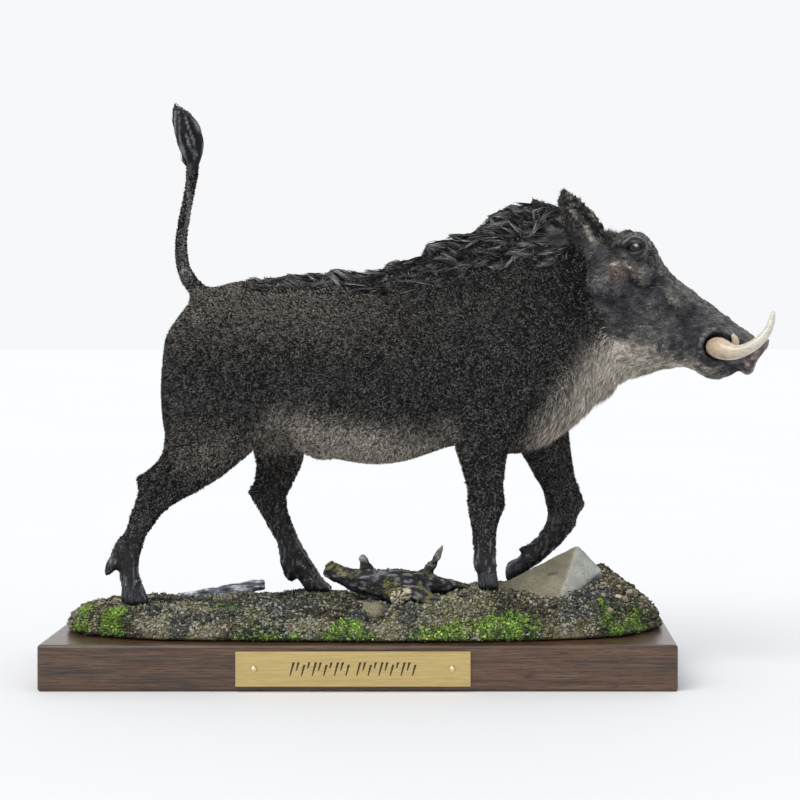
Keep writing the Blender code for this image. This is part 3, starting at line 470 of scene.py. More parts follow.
def make_studio():
    scene = bpy.context.scene
    camera = link(bpy.data.objects.new("camera", bpy.data.cameras.new("camera")))
    camera.location = CAMERA_PLACE
    camera.rotation_euler = (math.pi / 2, 0, 0)
    camera.data.sensor_width = SENSOR
    camera.data.lens = FOCAL_PIXELS / PHOTO_SIZE * SENSOR
    camera.data.shift_x, camera.data.shift_y = SHIFT
    scene.camera = camera
    world = bpy.data.worlds.new("studio")
    world.use_nodes = True
    sky = world.node_tree.nodes["Background"]
    sky.inputs["Color"].default_value = (*SKY, 1)
    sky.inputs["Strength"].default_value = SKY_STRENGTH
    scene.world = world
    key = link(bpy.data.objects.new("key", bpy.data.lights.new("key", "SUN")))
    key.data.energy = KEY_STRENGTH
    key.data.color = KEY_TONE
    key.data.angle = KEY_SPREAD
    key.rotation_mode = "QUATERNION"
    key.rotation_quaternion = KEY_FROM.to_track_quat("Z", "Y")
    scene.view_settings.view_transform = "Standard"
    shape = bmesh.new()
    bmesh.ops.create_grid(shape, x_segments=8, y_segments=8, size=FLOOR_SIZE / 2)
    mesh = bpy.data.meshes.new("floor")
    shape.to_mesh(mesh)
    shape.free()
    floor = link(bpy.data.objects.new("floor", mesh))
    dress(floor, floor_material())


# The animal's skin

# The jaw's beige edge: x and z in head places
JAW_X = (76, 86, 95, 104, 113, 121, 128, 136)
JAW_Z = (101, 105, 104.5, 101, 98.5, 95.5, 91.5, 88)

# Painted shade in the hollows behind the cheek, below it and beside the nose: the middle, reach and depth
SHADED_HOLLOWS = [
    ((108.5, 126), 3.2, 0.85), ((119.0, 113.0), 4.6, 0.8), ((120, 106), 3.6, 0.55), ((84, 113), 5.0, 0.75),
    ((123.6, 103.0), 1.8, 0.8), ((96.0, 114), 6.0, 0.55), ((79.5, 121), 4.5, 0.9), ((79.5, 129), 4.0, 0.9),
    ((110.8, 116), 2.6, 0.7), ((92, 138), 3.0, 0.7), ((84.5, 132.5), 3.6, 0.75), ((88.5, 141.5), 2.6, 0.5),
]

# Rings of painted shade in the folds around the eye and painted highlight on the ridges between them: the
# reach, width, tone and share
EYE_RINGS = [
    (3.1, 0.9, 0.006, 0.95), (4.2, 0.32, 0.17, 0.7), (4.9, 0.42, 0.008, 0.8),
    (5.7, 0.34, 0.13, 0.6), (6.4, 0.42, 0.010, 0.8), (7.9, 0.5, 0.014, 0.7),
]


def side_view_colours(places):
    """The painted colour of the head's skin at head places, with painted shade in its hollows and grooves and
    painted highlights on its ridges.
    """
    x, y, z = places[:, 0], np.abs(places[:, 1]), places[:, 2]
    side = rise(y, 4, 8)
    mottle = noise(places, 2.4, 3)
    broad = noise(places, 6.0, 5)
    fine = noise(places, (1.5, 0.7, 0.6), 4)
    colour = mixed((0.026, 0.027, 0.031), (0.072, 0.072, 0.075), rise(mottle + 0.6 * broad, -0.7, 0.8))

    def lay(tone, share):
        nonlocal colour
        colour = mixed(colour, tone, share)

    # The forehead and the bridge of the nose
    bridge_line = np.interp(x, (92, 104, 112, 124, 136, 146), (142, 137, 125.5, 117.5, 108.5, 103))
    bridge = rise(z - bridge_line, -5, 0)
    lay((0.098, 0.094, 0.092), bridge * (0.45 + 0.55 * rise(fine, -0.4, 0.5)))
    # The jaw turns to beige below
    jaw_line = np.interp(x, JAW_X, JAW_Z)
    jaw = rise(jaw_line + 2.5 * mottle + 1.5 * fine - z, -4, 8)
    lay((0.49, 0.445, 0.37), jaw * (1 - 0.6 * rise(x, 122, 130)))
    warm = side * blob(np.hypot((x - 103) / 1.6, z - 108), 7)
    lay((0.105, 0.095, 0.078), 0.45 * warm * rise(fine + 0.5 * mottle, -0.4, 0.6))
    # Painted shade in the face's hollows
    for middle, reach, depth in SHADED_HOLLOWS:
        lay((0.009, 0.009, 0.012), depth * side * blob(away(x, z, middle), reach))
    # Wart, pouch, cheek, brow and folds, with painted highlights on their ridges and painted shade in their
    # grooves
    wart = blob(away(x, z, WART, 1.1), 4.4) * side
    lay((0.125, 0.093, 0.080), 0.8 * wart)
    cheek = blob(np.hypot((x - 85.5) / 1.4, z - 125.5), 4.6) * side
    lay((0.105, 0.102, 0.102), 0.7 * cheek * rise(fine, -0.5, 0.4))
    # Painted highlight along the wart's crest
    crest_line = line_distance(x, z, (91.6, 130.6), (95.0, 131.6))
    crest_line = np.minimum(crest_line, line_distance(x, z, (95.0, 131.6), (98.2, 129.6)))
    lay((0.52, 0.50, 0.47), 0.85 * side * blob(crest_line, 0.5) * rise(fine, -0.5, 0.2))
    pouch = blob(away(x, z, POUCH, 1.1), 3.0) * side
    lay((0.150, 0.140, 0.125), 0.8 * pouch * rise(fine + mottle, -0.9, 0.4))
    # Painted highlight along the ridge of the fold beside the nose
    fold_line = line_distance(x, z, (111, 121.4), (114.4, 117.4))
    lay((0.20, 0.185, 0.16), 0.75 * side * blob(fold_line, 1.1))
    eye = away(x, z, EYE, 1.06)
    ahead = 0.5 * EYE[0] + EYE[1]
    # Painted shade and painted highlight in rings around the eye
    for reach, wide, tone, share in EYE_RINGS:
        front = 1 if reach < 4 else rise(0.5 * x + z, ahead - 2.5, ahead + 0.5)
        lay((tone, tone, tone * 1.08), share * side * front * blob(eye - reach, wide))
    # Painted highlight on the brow ridge above the eye
    brow = blob(eye - 8.2, 0.6) * rise(z, EYE[1] + 1, EYE[1] + 4)
    lay((0.21, 0.205, 0.20), 0.75 * side * brow)
    # Painted shade in the groove behind the eye
    corner = mark(x, z, (91.6, 137.8), (96.6, 137.0), 1.0)
    lay((0.006, 0.006, 0.008), 0.9 * side * corner)
    # Painted shade in the groove under the pouch
    pouch_edge = blob(away(x, z, POUCH) - 4.9, 0.8) * rise(POUCH[1] - z, -2.0, 1.5)
    lay((0.007, 0.007, 0.009), 0.9 * side * pouch_edge)
    # Painted shade in the fold in front of the eye, and painted highlight on the ridge beside it
    front_line = mark(x, z, (106.2, 135.0), (106.9, 126.5), 0.6)
    lay((0.009, 0.009, 0.011), 0.85 * side * front_line)
    light_line = mark(x, z, (107.8, 134.0), (108.7, 127.5), 0.5)
    lay((0.17, 0.165, 0.16), 0.6 * side * light_line)
    # The mouth and the tusk's rim, which shows above and behind the root, with a painted highlight along the
    # rim's ridge
    mouth = away(x, z, SOCKET)
    above = rise(z - SOCKET[1] + 0.5 * (SOCKET[0] - x), -1.5, 1.5)
    rim = above * blob(mouth - SOCKET_RADIUS - 1.5, 0.8) * rise(fine, -0.6, 0.4)
    lay((0.165, 0.165, 0.17), 0.55 * side * rim)
    lay((0.004, 0.004, 0.004), side * rise(SOCKET_RADIUS + 0.2 - mouth, -0.5, 0.3))
    lip = line_distance(x, z, (130.5, 96.4), (137.6, 92.3))
    lay((0.008, 0.007, 0.008), 0.9 * blob(lip, 0.7))
    # The snout's disc is pinkish brown, paler on its lower lobe
    disc = rise(x - (z - 98) * 0.3, 137.6, 140.0) * rise(z, 89, 91) * rise(108 - z, 0, 3)
    lay((0.155, 0.115, 0.105), 0.85 * disc * rise(mottle, -0.9, 0.5))
    lobe = disc * rise(100 - z, 0, 4) * rise(fine + mottle, -0.6, 0.7)
    lay((0.27, 0.205, 0.185), 0.85 * lobe)
    nostril = np.hypot(places[:, 1] - 3.4 * np.sign(places[:, 1]), (z - 98.6) * 0.8)
    lay((0.008, 0.006, 0.006), rise(x, 139, 141) * blob(nostril, 1.5))
    # The ears are dark, with a pale fold along the front edge and a mottled hollow
    ear = rise(z, 137, 141) * rise(95 - x, 0, 4) * rise(y, 5, 8)
    lay((0.022, 0.022, 0.024), ear)
    lay((0.070, 0.066, 0.061), ear * rise(z, 141, 145) * rise(fine, -0.5, 0.5))
    hollow = ear * rise(x - np.interp(z, (139, 147, 151, 160), (84.6, 80.6, 76.0, 72.0)), -0.5, 1.0)
    lay((0.20, 0.19, 0.16), 0.85 * hollow * rise(mottle + fine, 0.0, 0.7))
    lay((0.012, 0.012, 0.012), 0.9 * hollow * rise(-mottle, 0.0, 0.6))
    fold = line_distance(x, z, (84.4, 139.5), (80.2, 147.2))
    fold = blob(np.minimum(fold, line_distance(x, z, (80.2, 147.2), (75.6, 151.2))), 0.75)
    lay((0.50, 0.48, 0.40), 0.95 * ear * fold * rise(fine, -1.0, -0.1))
    # Painted shade on the neck behind the face's edge
    behind = neck_share(turned_back(places))
    lay((0.015, 0.015, 0.016), 0.9 * behind * (1 - jaw) * (1 - ear))
    speck = noise(places, (1.0, 0.6, 0.5), 6)
    return np.clip(colour * (1 + 0.5 * fine + 0.45 * speck)[:, None], 0.002, 1)


# Straight folds and ridges of the face: the height, both ends in x and z, and the width
FACE_FOLDS = [
    (-0.6, (106.2, 134.0), (107.0, 127.0), 0.7),
    (0.5, (107.8, 133.0), (108.6, 126.0), 0.8),
    (-0.7, (92.0, 137.8), (96.4, 137.0), 1.0),
    (-0.45, (94.5, 133.2), (103.8, 132.4), 0.6),
    (0.5, (91.8, 131.2), (97.6, 130.6), 0.8),
    (-0.6, (98.4, 126), (97.2, 131), 0.7),
    (-0.9, (80, 119.4), (90, 116.4), 1.5),
    (-0.7, (90, 116.4), (98, 119.6), 1.3),
    (-1.5, (79.4, 130), (78.6, 112), 1.6),
    (-0.9, (83, 134.5), (80.5, 129), 1.6),
    (1.1, (110.6, 121.6), (114.6, 117.4), 1.5),
    (-0.9, (107.6, 119.6), (113.6, 113.4), 1.7),
    (-0.9, (115.6, 121.2), (119, 113), 1.5),
    (-0.7, (119, 113), (120.6, 105), 1.7),
]


def head_relief(places):
    """How far the head's skin stands up at head places."""
    x, y, z = places[:, 0], np.abs(places[:, 1]), places[:, 2]
    side = rise(y, 5, 9)
    not_ear = 1 - rise(z, 140, 144) * rise(95 - x, 0, 3)
    flat = np.hypot(x - EYE[0], (z - EYE[1] - 0.05 * (x - EYE[0])) / 0.55)
    eye = away(x, z, EYE, 1.08)
    up = -2.1 * rise(2.75 - flat, -0.35, 0.35)
    up += 0.6 * blob(flat - 3.9, 0.7) * rise(8 - eye, 0, 1) * (0.35 + 0.65 * rise(z - EYE[1], -1.5, 1.5))
    up -= 0.75 * blob(eye - 5.6, 0.6) * rise(z + 0.4 * (x - EYE[0]), EYE[1] - 3, EYE[1])
    up += 0.4 * blob(eye - 6.6, 0.5) * rise(z + x * 0.3, EYE[1] + 27.6, EYE[1] + 30.8)
    up -= 0.5 * blob(eye - 7.6, 0.55) * rise(x, EYE[0] - 1, EYE[0] + 3)
    up += 1.3 * blob(away(x, z, WART), 3.8)
    up += 0.9 * blob(away(x, z, POUCH), 3.2)
    edge = away(x, z, POUCH)
    up -= 0.9 * blob(edge - 5.0, 0.8) * rise(POUCH[1] - z, -2.0, 2.0)
    for height, start, end, wide in FACE_FOLDS:
        up += height * mark(x, z, start, end, wide)
    mouth = away(x, z, SOCKET)
    above = rise(z - SOCKET[1] + 0.5 * (SOCKET[0] - x), -1.5, 1.5)
    up += 0.55 * above * blob(mouth - SOCKET_RADIUS - 1.3, 1.0) * (0.6 + 0.4 * noise(places, 2.0, 25))
    up -= 0.55 * blob(mouth - SOCKET_RADIUS - 3.2, 0.8) * rise(SOCKET[0] - x, -2, 2)
    up = up * rise(y, 6.5, 9.5) * not_ear
    up += 1.0 * blob(np.hypot(x - 140.2, (z - 92.6) * 0.9), 2.6) * rise(x, 136.5, 138.5)
    up += 1.4 * blob(np.hypot(x - 144.0, z - 103.0), 3.4) * rise(x, 140, 142)
    up -= 0.75 * mark(x, z, (130.5, 96.4), (137.6, 92.3), 0.7) * rise(y, 1, 3)
    nostril = np.hypot(places[:, 1] - 3.4 * np.sign(places[:, 1]), (z - 98.6) * 0.8)
    up -= 1.6 * rise(x, 141.5, 143) * rise(1.9 - nostril, -0.4, 0.4)
    # Folds of skin: fine ridges that run back and up, stronger around the eye
    folds = 1 - np.abs(noise(places, (3.6, 2.4, 1.2), 21)) * 2
    up += 0.26 * folds * not_ear * (0.5 + rise(11 - eye, 0, 6)) * rise(x, 80, 86)
    up += 0.20 * noise(places, (1.6, 1.2, 0.8), 22)
    up += 0.30 * noise(places, (3.4, 2.4, 2.2), 24) * rise(x, 80, 86) * not_ear
    # Rough, hairy ears
    up += 0.34 * (1 - not_ear) * noise(places, (1.3, 1.3, 2.2), 23)
    return up


def leg_relief(places):
    """Tendons, hair streaks and horn grooves of the lower legs, at figure places."""
    streak = noise(places, (0.9, 0.9, 4.2), 31)
    broad = noise(places, (2.4, 2.4, 7.0), 32)
    groove = noise(places, (0.8, 0.8, 6.0), 36) * hoof_share(places)
    return 0.30 * streak + 0.42 * broad + 0.12 * noise(places, 0.8, 34) + 0.25 * groove


# The tip of the tail: x and z in figure places
TUFT_TIP = (-70, 190)


def mane_relief(places):
    """Hair streaks of the mane and the tail's tuft, at figure places."""
    back = 0.42 * noise(places, (5.0, 0.9, 1.1), 41) + 0.2 * noise(places, (2.4, 0.6, 0.6), 42)
    return mixed(back[:, None], 0.5 * tuft_streaks(places)[:, None], tail_share(places))[:, 0]


def tuft_streaks(places):
    """Streaks that fan out downwards from the tip of the tail, at figure places."""
    x, y, z = places[:, 0] - TUFT_TIP[0], places[:, 1], TUFT_TIP[1] - places[:, 2]
    along = np.hypot(x, z)
    fan = np.stack([np.arctan2(x, z + 5) * 26 + 0.12 * along, np.arctan2(y, z + 5) * 9, along / 15], axis=1)
    return 0.9 * noise(fan, 1.0, 44) + 0.2 * noise(fan, 0.5, 45)


def hoof_share(places):
    """1 on the horn of the hooves and 0 above it, at figure places."""
    share = np.zeros(len(places))
    for x, y, top, reach in HOOVES:
        near = rise(reach - np.hypot(places[:, 0] - x, places[:, 1] - y), -0.5, 0.5)
        share = np.maximum(share, near * rise(top - places[:, 2], -0.4, 0.4))
    return share


def mane_share(places):
    """1 in the mane and 0 below its edge, at figure places."""
    x, y, z = places.T
    edge = np.interp(x, MANE_EDGE_X, MANE_EDGE_Z)
    inside = rise(x, -50, -44) * rise(84 - x, 0, 5)
    behind_ear = 1 - rise(np.abs(y), 11, 14) * rise(x, 70, 74)
    return rise(z - edge, -3, 3) * inside * behind_ear


def tail_share(places):
    return rise(-54.5 - places[:, 0], 0, 3) * rise(places[:, 2], 121, 125)


SKIN_VOXEL = 0.6
TRUNK_VOXEL = 1.5
FACE_FROM = 77
LEGS_BELOW = 57


def make_skin():
    """The skin of the animal as a fine head, mane and legs and a coarser trunk; returns their arrays."""
    points, faces = finer("warthog", SKIN_VOXEL, 12)
    normals = normals_of(points, faces)
    places = figure(points)
    turned = head(places)
    on_head = rise(places[:, 0], FACE_FROM - 2, FACE_FROM + 4)
    on_ear = rise(places[:, 0], 66, 68) * rise(places[:, 2], 140, 144) * rise(np.abs(places[:, 1]), 7, 9)
    on_head = np.maximum(on_head, on_ear)
    low = rise(LEGS_BELOW + 4 - places[:, 2], 0, 10)
    hairy = np.maximum(mane_share(places), tail_share(places) * rise(places[:, 2], 162, 168)) * (1 - on_ear)
    up = head_relief(turned) * on_head + leg_relief(places) * low + mane_relief(places) * hairy
    tail = tail_share(places)
    up = up - coat_depth(places) + tail * (0.45 + 0.55 * rise(places[:, 2], 158, 180))
    up = up - 0.5 * mane_share(places)
    points = points + normals * up[:, None]
    normals = normals_of(points, faces)

    middles = places[faces].mean(axis=1)
    x, y, z = middles.T
    ear = (x > 66) & (z > 139) & (np.abs(y) > 7)
    in_head = ((x > FACE_FROM) & (z > LEGS_BELOW)) | ear
    in_legs = ~in_head & (z < LEGS_BELOW)
    top = z > np.interp(x, MANE_EDGE_X, MANE_EDGE_Z) - 4
    in_mane = ~in_head & ~in_legs & ((top & (x > -46)) | ((x < -54) & (z > 121)))

    skins = {}
    part, quads, used = kept_part(points, faces, in_head)
    obj = mesh_object("head_skin", part, quads, side_view_colours(turned[used]))
    dress(obj, coat_material("face_hide", 0.5, 0.5, 0.4, 1.75, 0.6, 0.3, Specular_IOR_Level=0.22))
    place(obj, "warthog_hide", "warthog")
    skins["head"] = (part, quads)

    part, quads, used = kept_part(points, faces, in_legs)
    at = places[used]
    # Pale blue-grey streaks down the lower legs: painted hair lines and painted highlights
    streak = rise(noise(at, (0.6, 0.6, 2.6), 33), 0.15, 0.8)
    tint = mixed((0.007, 0.007, 0.008), (0.16, 0.166, 0.18), streak * 0.75)
    # Painted highlights: pale blue-grey specks low on the legs, near the hooves
    painted_sheen = rise(noise(at, 0.8, 35), 0.62, 0.8) * rise(24 - at[:, 2], 0, 8)
    tint = mixed(tint, (0.42, 0.44, 0.47), 0.8 * painted_sheen)
    tint = mixed(tint, (0.006, 0.006, 0.007), hoof_share(at))
    obj = mesh_object("leg_skin", part, quads, tint)
    hide = coat_material("leg_hide", 0.42, 0.7, 0.5, 1.6, 0.4, 0.25, (1, 1, 3), Specular_IOR_Level=0.3)
    dress(obj, hide, horn_material())
    horn = hoof_share(at)[quads].mean(axis=1) > 0.5
    obj.data.polygons.foreach_set("material_index", horn.astype(np.int32))
    place(obj, "warthog_hide")
    skins["legs"] = (part, quads)

    part, quads, used = kept_part(points, faces, in_mane)
    at = places[used]
    streak = rise(noise(at, (6.0, 0.8, 0.9), 43), 0.1, 0.8)
    tint = mixed((0.007, 0.007, 0.009), (0.09, 0.09, 0.092), streak)
    tuft = mixed((0.008, 0.008, 0.010), (0.19, 0.195, 0.20), rise(tuft_streaks(at), 0.0, 0.7))
    tint = mixed(tint, tuft, tail_share(at))
    obj = mesh_object("mane_skin", part, quads, tint)
    dress(obj, coat_material("mane_hide", 0.65, 0.6, 0.6, 1.5, 0.4, 0.3, (5, 1, 1), Specular_IOR_Level=0.12))
    place(obj, "warthog_hide")
    skins["mane"] = (part, quads)

    points, faces = finer("warthog", TRUNK_VOXEL, 5)
    points = points - normals_of(points, faces) * coat_depth(figure(points))[:, None]
    middles = figure(points)[faces].mean(axis=1)
    x, y, z = middles.T
    top = z > np.interp(x, MANE_EDGE_X, MANE_EDGE_Z) - 1.5
    trunk = (x < FACE_FROM + 2) & (z > LEGS_BELOW - 2) & ~(top & (x > -44)) & ~((x < -56) & (z > 124))
    trunk &= ~((x > 66) & (z > 141))
    part, quads, used = kept_part(points, faces, trunk)
    obj = mesh_object("trunk_skin", part, quads, coat_of(figure(part))[0] * 0.45)
    dress(obj, coat_material("trunk_hide", 0.7, 0.9, 0.6, 1.4, 0.4, 0.3, Specular_IOR_Level=0.1))
    place(obj, "warthog_hide")
    skins["trunk"] = (part, quads)
    return skins


def horn_material():
    material, tree, shader = new_material("horn", Specular_IOR_Level=0.4)
    streak = grain(tree, 0.6, 5.0, (1, 1, 6), 0.7)
    # Painted highlights: pale blue-grey streaks on the near-black horn
    colour = blend(tree, ranged(tree, streak, 0.48, 0.66), (0.004, 0.004, 0.005), (0.07, 0.082, 0.10))
    finish_material(tree, shader, colour, streak, 0.38, 0.24, 0.6, 0.4)
    return material


# The coat

def coat_of(places):
    """The coat at figure places: mean colour, length, dark and tan colours, tan share and chest share."""
    x, y, z = places.T
    cloud = noise(places, 16, 51)
    belly_line = np.interp(x, (-60, -46, -34, -20, 0, 20, 34, 44), (46, 56, 72, 77, 74, 71, 71.5, 68))
    belly = rise(belly_line + 5 * cloud - z, -9, 8) * rise(x, -56, -38) * rise(37 - x, 0, 8)
    belly = belly * (1 - 0.8 * rise(66 - z, 0, 8) * rise(-x, 20, 28))
    chest_edge = np.interp(z, (60, 72, 84, 96, 108, 120), (46, 58, 67, 75, 84, 96))
    chest = rise(x - chest_edge - 2 + 4 * cloud, -6, 9) * rise(122 - z, 0, 14) * rise(z, 63, 69)
    chest = chest * (1 - rise(y, 6, 10) * rise(78 - z, 0, 8))
    top = rise(z, 92, 122) * rise(30 - x, 0, 50)
    shoulder = blob(np.hypot((x - 48) / 1.2, (z - 84) / 1.5), 17)
    neck = rise(x, 62, 74) * rise(z, 104, 122)
    leg = rise(64 - z, 0, 10) * (1 - belly)
    far_leg = rise(72 - z, 0, 10) * rise(y, 4, 8) * rise(np.abs(x - 14), 26, 32)
    thigh = blob(np.hypot((x + 52) / 1.5, (z - 64) / 0.9), 10) * rise(-y, 4, 10)
    tan = 0.34 + 0.24 * top + 0.08 * cloud + 0.34 * belly + 0.30 * chest + 0.22 * thigh
    tan = tan - 0.04 * shoulder - 0.06 * neck - 0.06 * leg + np.where(x > 30, 0.16, -0.16) * far_leg
    # Painted shade: fewer tan tips in the dark hollow behind the cheek and below the ear
    shade = blob(np.hypot((x - 77) / 0.75, (z - 127) / 1.7), 9)
    tan = np.clip((tan + 0.07) * (1 - 0.3 * tail_share(places)) * (1 - 0.5 * shade), 0.05, 0.92)
    dark = mixed((0.0075, 0.0072, 0.0072), (0.0060, 0.0060, 0.0068), np.clip(shoulder + leg + neck, 0, 1))
    dark = mixed(dark, (0.085, 0.076, 0.066), belly)
    dark = mixed(dark, (0.11, 0.098, 0.082), chest)
    pale = mixed((0.140, 0.137, 0.133), (0.260, 0.238, 0.215), top)
    pale = mixed(pale, (0.60, 0.545, 0.47), belly)
    pale = mixed(pale, (0.30, 0.27, 0.23), 0.7 * thigh)
    pale = mixed(pale, (0.68, 0.62, 0.53), chest)
    mean = dark + (pale - dark) * tan[:, None]
    length = 1.35 + 0.2 * belly + 2.6 * chest - 0.5 * rise(56 - z, 0, 20) - 0.4 * tail_share(places)
    return mean, length, dark, pale, tan, chest


def coat_depth(places):
    """How far the skin lies under the coat's surface, at figure places."""
    furred = rise(places[:, 2], 26, 46) * (1 - tail_share(places)) * rise(90 - places[:, 0], 0, 6)
    return furred * 0.45 * coat_of(places)[1]


def neck_share(places):
    """1 on the hairy neck behind the face and 0 on the face, at figure places."""
    x, y, z = places[:, 0], np.abs(places[:, 1]), places[:, 2]
    edge = np.interp(z, (88, 98, 106, 114, 121, 128, 135, 140), (92, 90, 88, 84, 80.5, 79.2, 79.5, 80))
    ragged = 1.2 * noise(places, 3, 52)
    return rise(edge + ragged - x, -1.5, 1.5) * (1 - rise(z, 139, 142) * rise(y, 7, 9))


def flow_of(places):
    """The way that hair lies, at figure places."""
    x, z = places[:, 0], places[:, 2]
    flow = np.zeros_like(places)
    flow[:, 0] = -1
    flow[:, 2] = -0.55
    down = np.maximum(rise(66 - z, -6, 10), 0.75 * rise(-x, 52, 70))
    down = np.maximum(down, 0.8 * rise(x, 58, 76) * rise(112 - z, 0, 14))
    flow = mixed(flow, (-0.18, 0.0, -1.0), down)
    return mixed(flow, (0.05, 0.0, 1.0), tail_share(places))


def blades(roots, normals, flow, length, lift, wander):
    """Guides of short curved hairs of three points, and the direction across each."""
    count = len(roots)
    flow = unit(flow - normals * (flow * normals).sum(axis=1, keepdims=True))
    sideways = np.cross(normals, flow)
    turn = random.normal(0, wander, count)[:, None]
    flow = flow * np.cos(turn) + sideways * np.sin(turn)
    sideways = np.cross(normals, flow)
    lift = (lift * (0.7 + 0.6 * random.random(count)))[:, None]
    length = (length * (0.7 + 0.6 * random.random(count)))[:, None]
    curl = random.normal(0, 0.22, count)[:, None] * length
    first = flow * np.cos(lift) + normals * np.sin(lift)
    second = flow * np.cos(lift * 0.45) + normals * np.sin(lift * 0.45)
    start = roots - normals * 0.12
    middle = start + first * length * 0.5 + sideways * curl * 0.5
    tip = middle + second * length * 0.5 - sideways * curl * 0.35
    guides = np.stack([start, middle, tip], axis=1)
    twist = random.normal(0, 0.5, count)[:, None]
    return guides, unit(sideways * np.cos(twist) + normals * np.sin(twist))


COAT_PER_MM2 = 6.0
# Where the mane's locks crowd behind the ear: x and z in figure places
EAR_BACK = (69, 140)
TRIANGLES_A_PIECE = 150000


def make_coat(skins):
    """The flocked coat: short hairs with dark roots and tan tips, in pieces of a fit size."""
    roots, directions = [], []
    for name in ("trunk", "legs", "mane", "head"):
        points, quads = skins[name]

        def share(at):
            bare = np.maximum(hoof_share(at), rise(38 - at[:, 2], 0, 11) * 0.96)
            if name == "head":
                bare = np.maximum(bare, 1 - neck_share(at))
            hidden = 0.75 * mane_share(at) + tail_share(at) * rise(at[:, 2], 164, 168)
            hidden += 0.9 * blob(away(at[:, 0], at[:, 2], EAR_BACK), 6)
            return np.clip(1 - bare - hidden, 0, 1)

        found, facing = scatter(points, quads, COAT_PER_MM2, share)
        roots.append(found)
        directions.append(facing)
    roots, directions = np.concatenate(roots), np.concatenate(directions)
    order = random.permutation(len(roots))
    roots, directions = roots[order], directions[order]
    places = figure(roots)
    length, dark, pale, tan, chest = coat_of(places)[1:]
    keep = (chest < 0.25) | (random.random(len(roots)) < 0.6)
    roots, directions, places = roots[keep], directions[keep], places[keep]
    length, dark, pale, tan, chest = length[keep], dark[keep], pale[keep], tan[keep], chest[keep]
    lift, wander = 0.75 - 0.2 * chest, 1.15 - 0.9 * chest
    guides, across = blades(roots, directions, flow_of(places), length, lift, wander)
    count = len(roots)
    patchy = tan + 0.22 * noise(places, 1.3, 53)
    tipped = random.random(count) < patchy
    fleck = np.where(tipped, 0.40 + 0.9 * random.random(count), 0.16 * random.random(count) ** 2)
    tip_tint = dark + (pale - dark) * fleck[:, None]
    tints = np.stack([tip_tint * 0.45, tip_tint * 0.85, tip_tint], axis=1)
    tints *= (0.75 + 0.5 * random.random(count))[:, None, None]
    widths = (0.58 + 0.22 * random.random(count)) * (1 - 0.6 * chest)
    material = coat_material("fur", 0.7, 6.0, 0.85, 1.15, 0.1, 0.1, Specular_IOR_Level=0.08)
    long = chest > 0.25
    obj = ribbons("chest_hair", guides[long], widths[long], across[long], tints[long], material)
    place(obj, "warthog_hide")
    short = np.flatnonzero(~long)
    pieces = math.ceil(len(short) / TRIANGLES_A_PIECE)
    for number, chosen in enumerate(np.array_split(short, pieces)):
        flakes = guides[chosen][:, [0, 2]]
        shades = tints[chosen][:, [0, 2]]
        obj = ribbons(f"coat_{number + 1}", flakes, widths[chosen], across[chosen], shades, material)
        place(obj, "warthog_hide")


FACE_PER_MM2 = 8.0
# The tufts between ear and brow: x and z in head places
FORELOCK = (89.5, 141.5)


def make_face_hair(skins):
    """Fine hair that lies flat on the face and grows longer under the jaw and in the ears."""
    points, quads = skins["head"]

    def share(at):
        at = head(at)
        x, y, z = at[:, 0], np.abs(at[:, 1]), at[:, 2]
        bare = rise(6.0 - away(x, z, EYE), -1, 2.5) * rise(y, 6, 9)
        bare = np.maximum(bare, rise(7.0 - away(x, z, SOCKET), -1, 1) * rise(y, 3, 5))
        bare = np.maximum(bare, rise(x, 134, 139))
        return np.clip(1 - bare, 0, 1)

    roots, directions = scatter(points, quads, FACE_PER_MM2, share)
    at = head(figure(roots))
    x, y, z = at[:, 0], np.abs(at[:, 1]), at[:, 2]
    ear = rise(z, 139, 143) * rise(94 - x, 0, 4) * rise(y, 6, 9)
    beard = rise(np.interp(x, (76, 88, 100, 112, 122), (112, 104, 98, 95, 88)) - z, -2, 6)
    back = neck_share(figure(roots))
    flow = np.zeros_like(roots)
    flow[:, 0] = -1
    flow[:, 2] = -0.45 + 0.9 * rise(z, 118, 132) + 0.7 * noise(at, 7.0, 61)
    flow = mixed(flow, (-0.45, 0.0, -1.0), np.maximum(beard, 0.6 * back))
    flow = mixed(flow, (-0.55, 0.0, 1.0), ear)
    length = 1.5 + 1.6 * beard - 0.2 * ear + 0.2 * back * (1 - ear) - 0.3 * rise(x, 112, 124)
    forelock = blob(away(x, z, FORELOCK), 3.4) * rise(z, 137, 139)
    flow = mixed(flow, (-0.2, 0.0, 1.0), forelock)
    length = length + 2.4 * forelock
    guides, across = blades(roots, directions, flow, length, 0.20 + 0.28 * beard + 0.6 * forelock, 0.4)
    count = len(roots)
    tint = side_view_colours(at)
    blend_in = coat_of(figure(roots))[0]
    tint = tint * (1 - back)[:, None] + blend_in * back[:, None]
    tone = np.exp(random.normal(0.0, 0.95 - 0.45 * beard, count))
    tints = np.stack([tint * 0.5 * tone[:, None] ** 0.5, tint * tone[:, None] * 1.15], axis=1)
    guides = guides[:, [0, 2]]
    widths = 0.20 + 0.10 * random.random(count) + 0.10 * beard
    material = coat_material("face_hair", 0.6, 4.0, 0.85, 1.15, 0.1, 0.1, Specular_IOR_Level=0.12)
    place(ribbons("face_hair", guides, widths, across, tints, material), "warthog_hide")


LOCKS = 660
HAIRS_A_LOCK = 32
LOCK_STEPS = 4


# The mane's stepped skyline: each tuft's tip, and the height behind the next, in figure places
TUFTS = [
    (-43, 127.8, 127.6), (-29, 129.4, 128.2), (-12.8, 130.8, 129.6), (6.9, 132.6, 135.4),
    (21.6, 140.2, 141.0), (29.9, 143.6, 143.0), (40.4, 145.6, 146.6), (43.9, 149.8, 151.6),
    (51.9, 154.2, 153.2), (70.5, 153.0, 150.0),
]


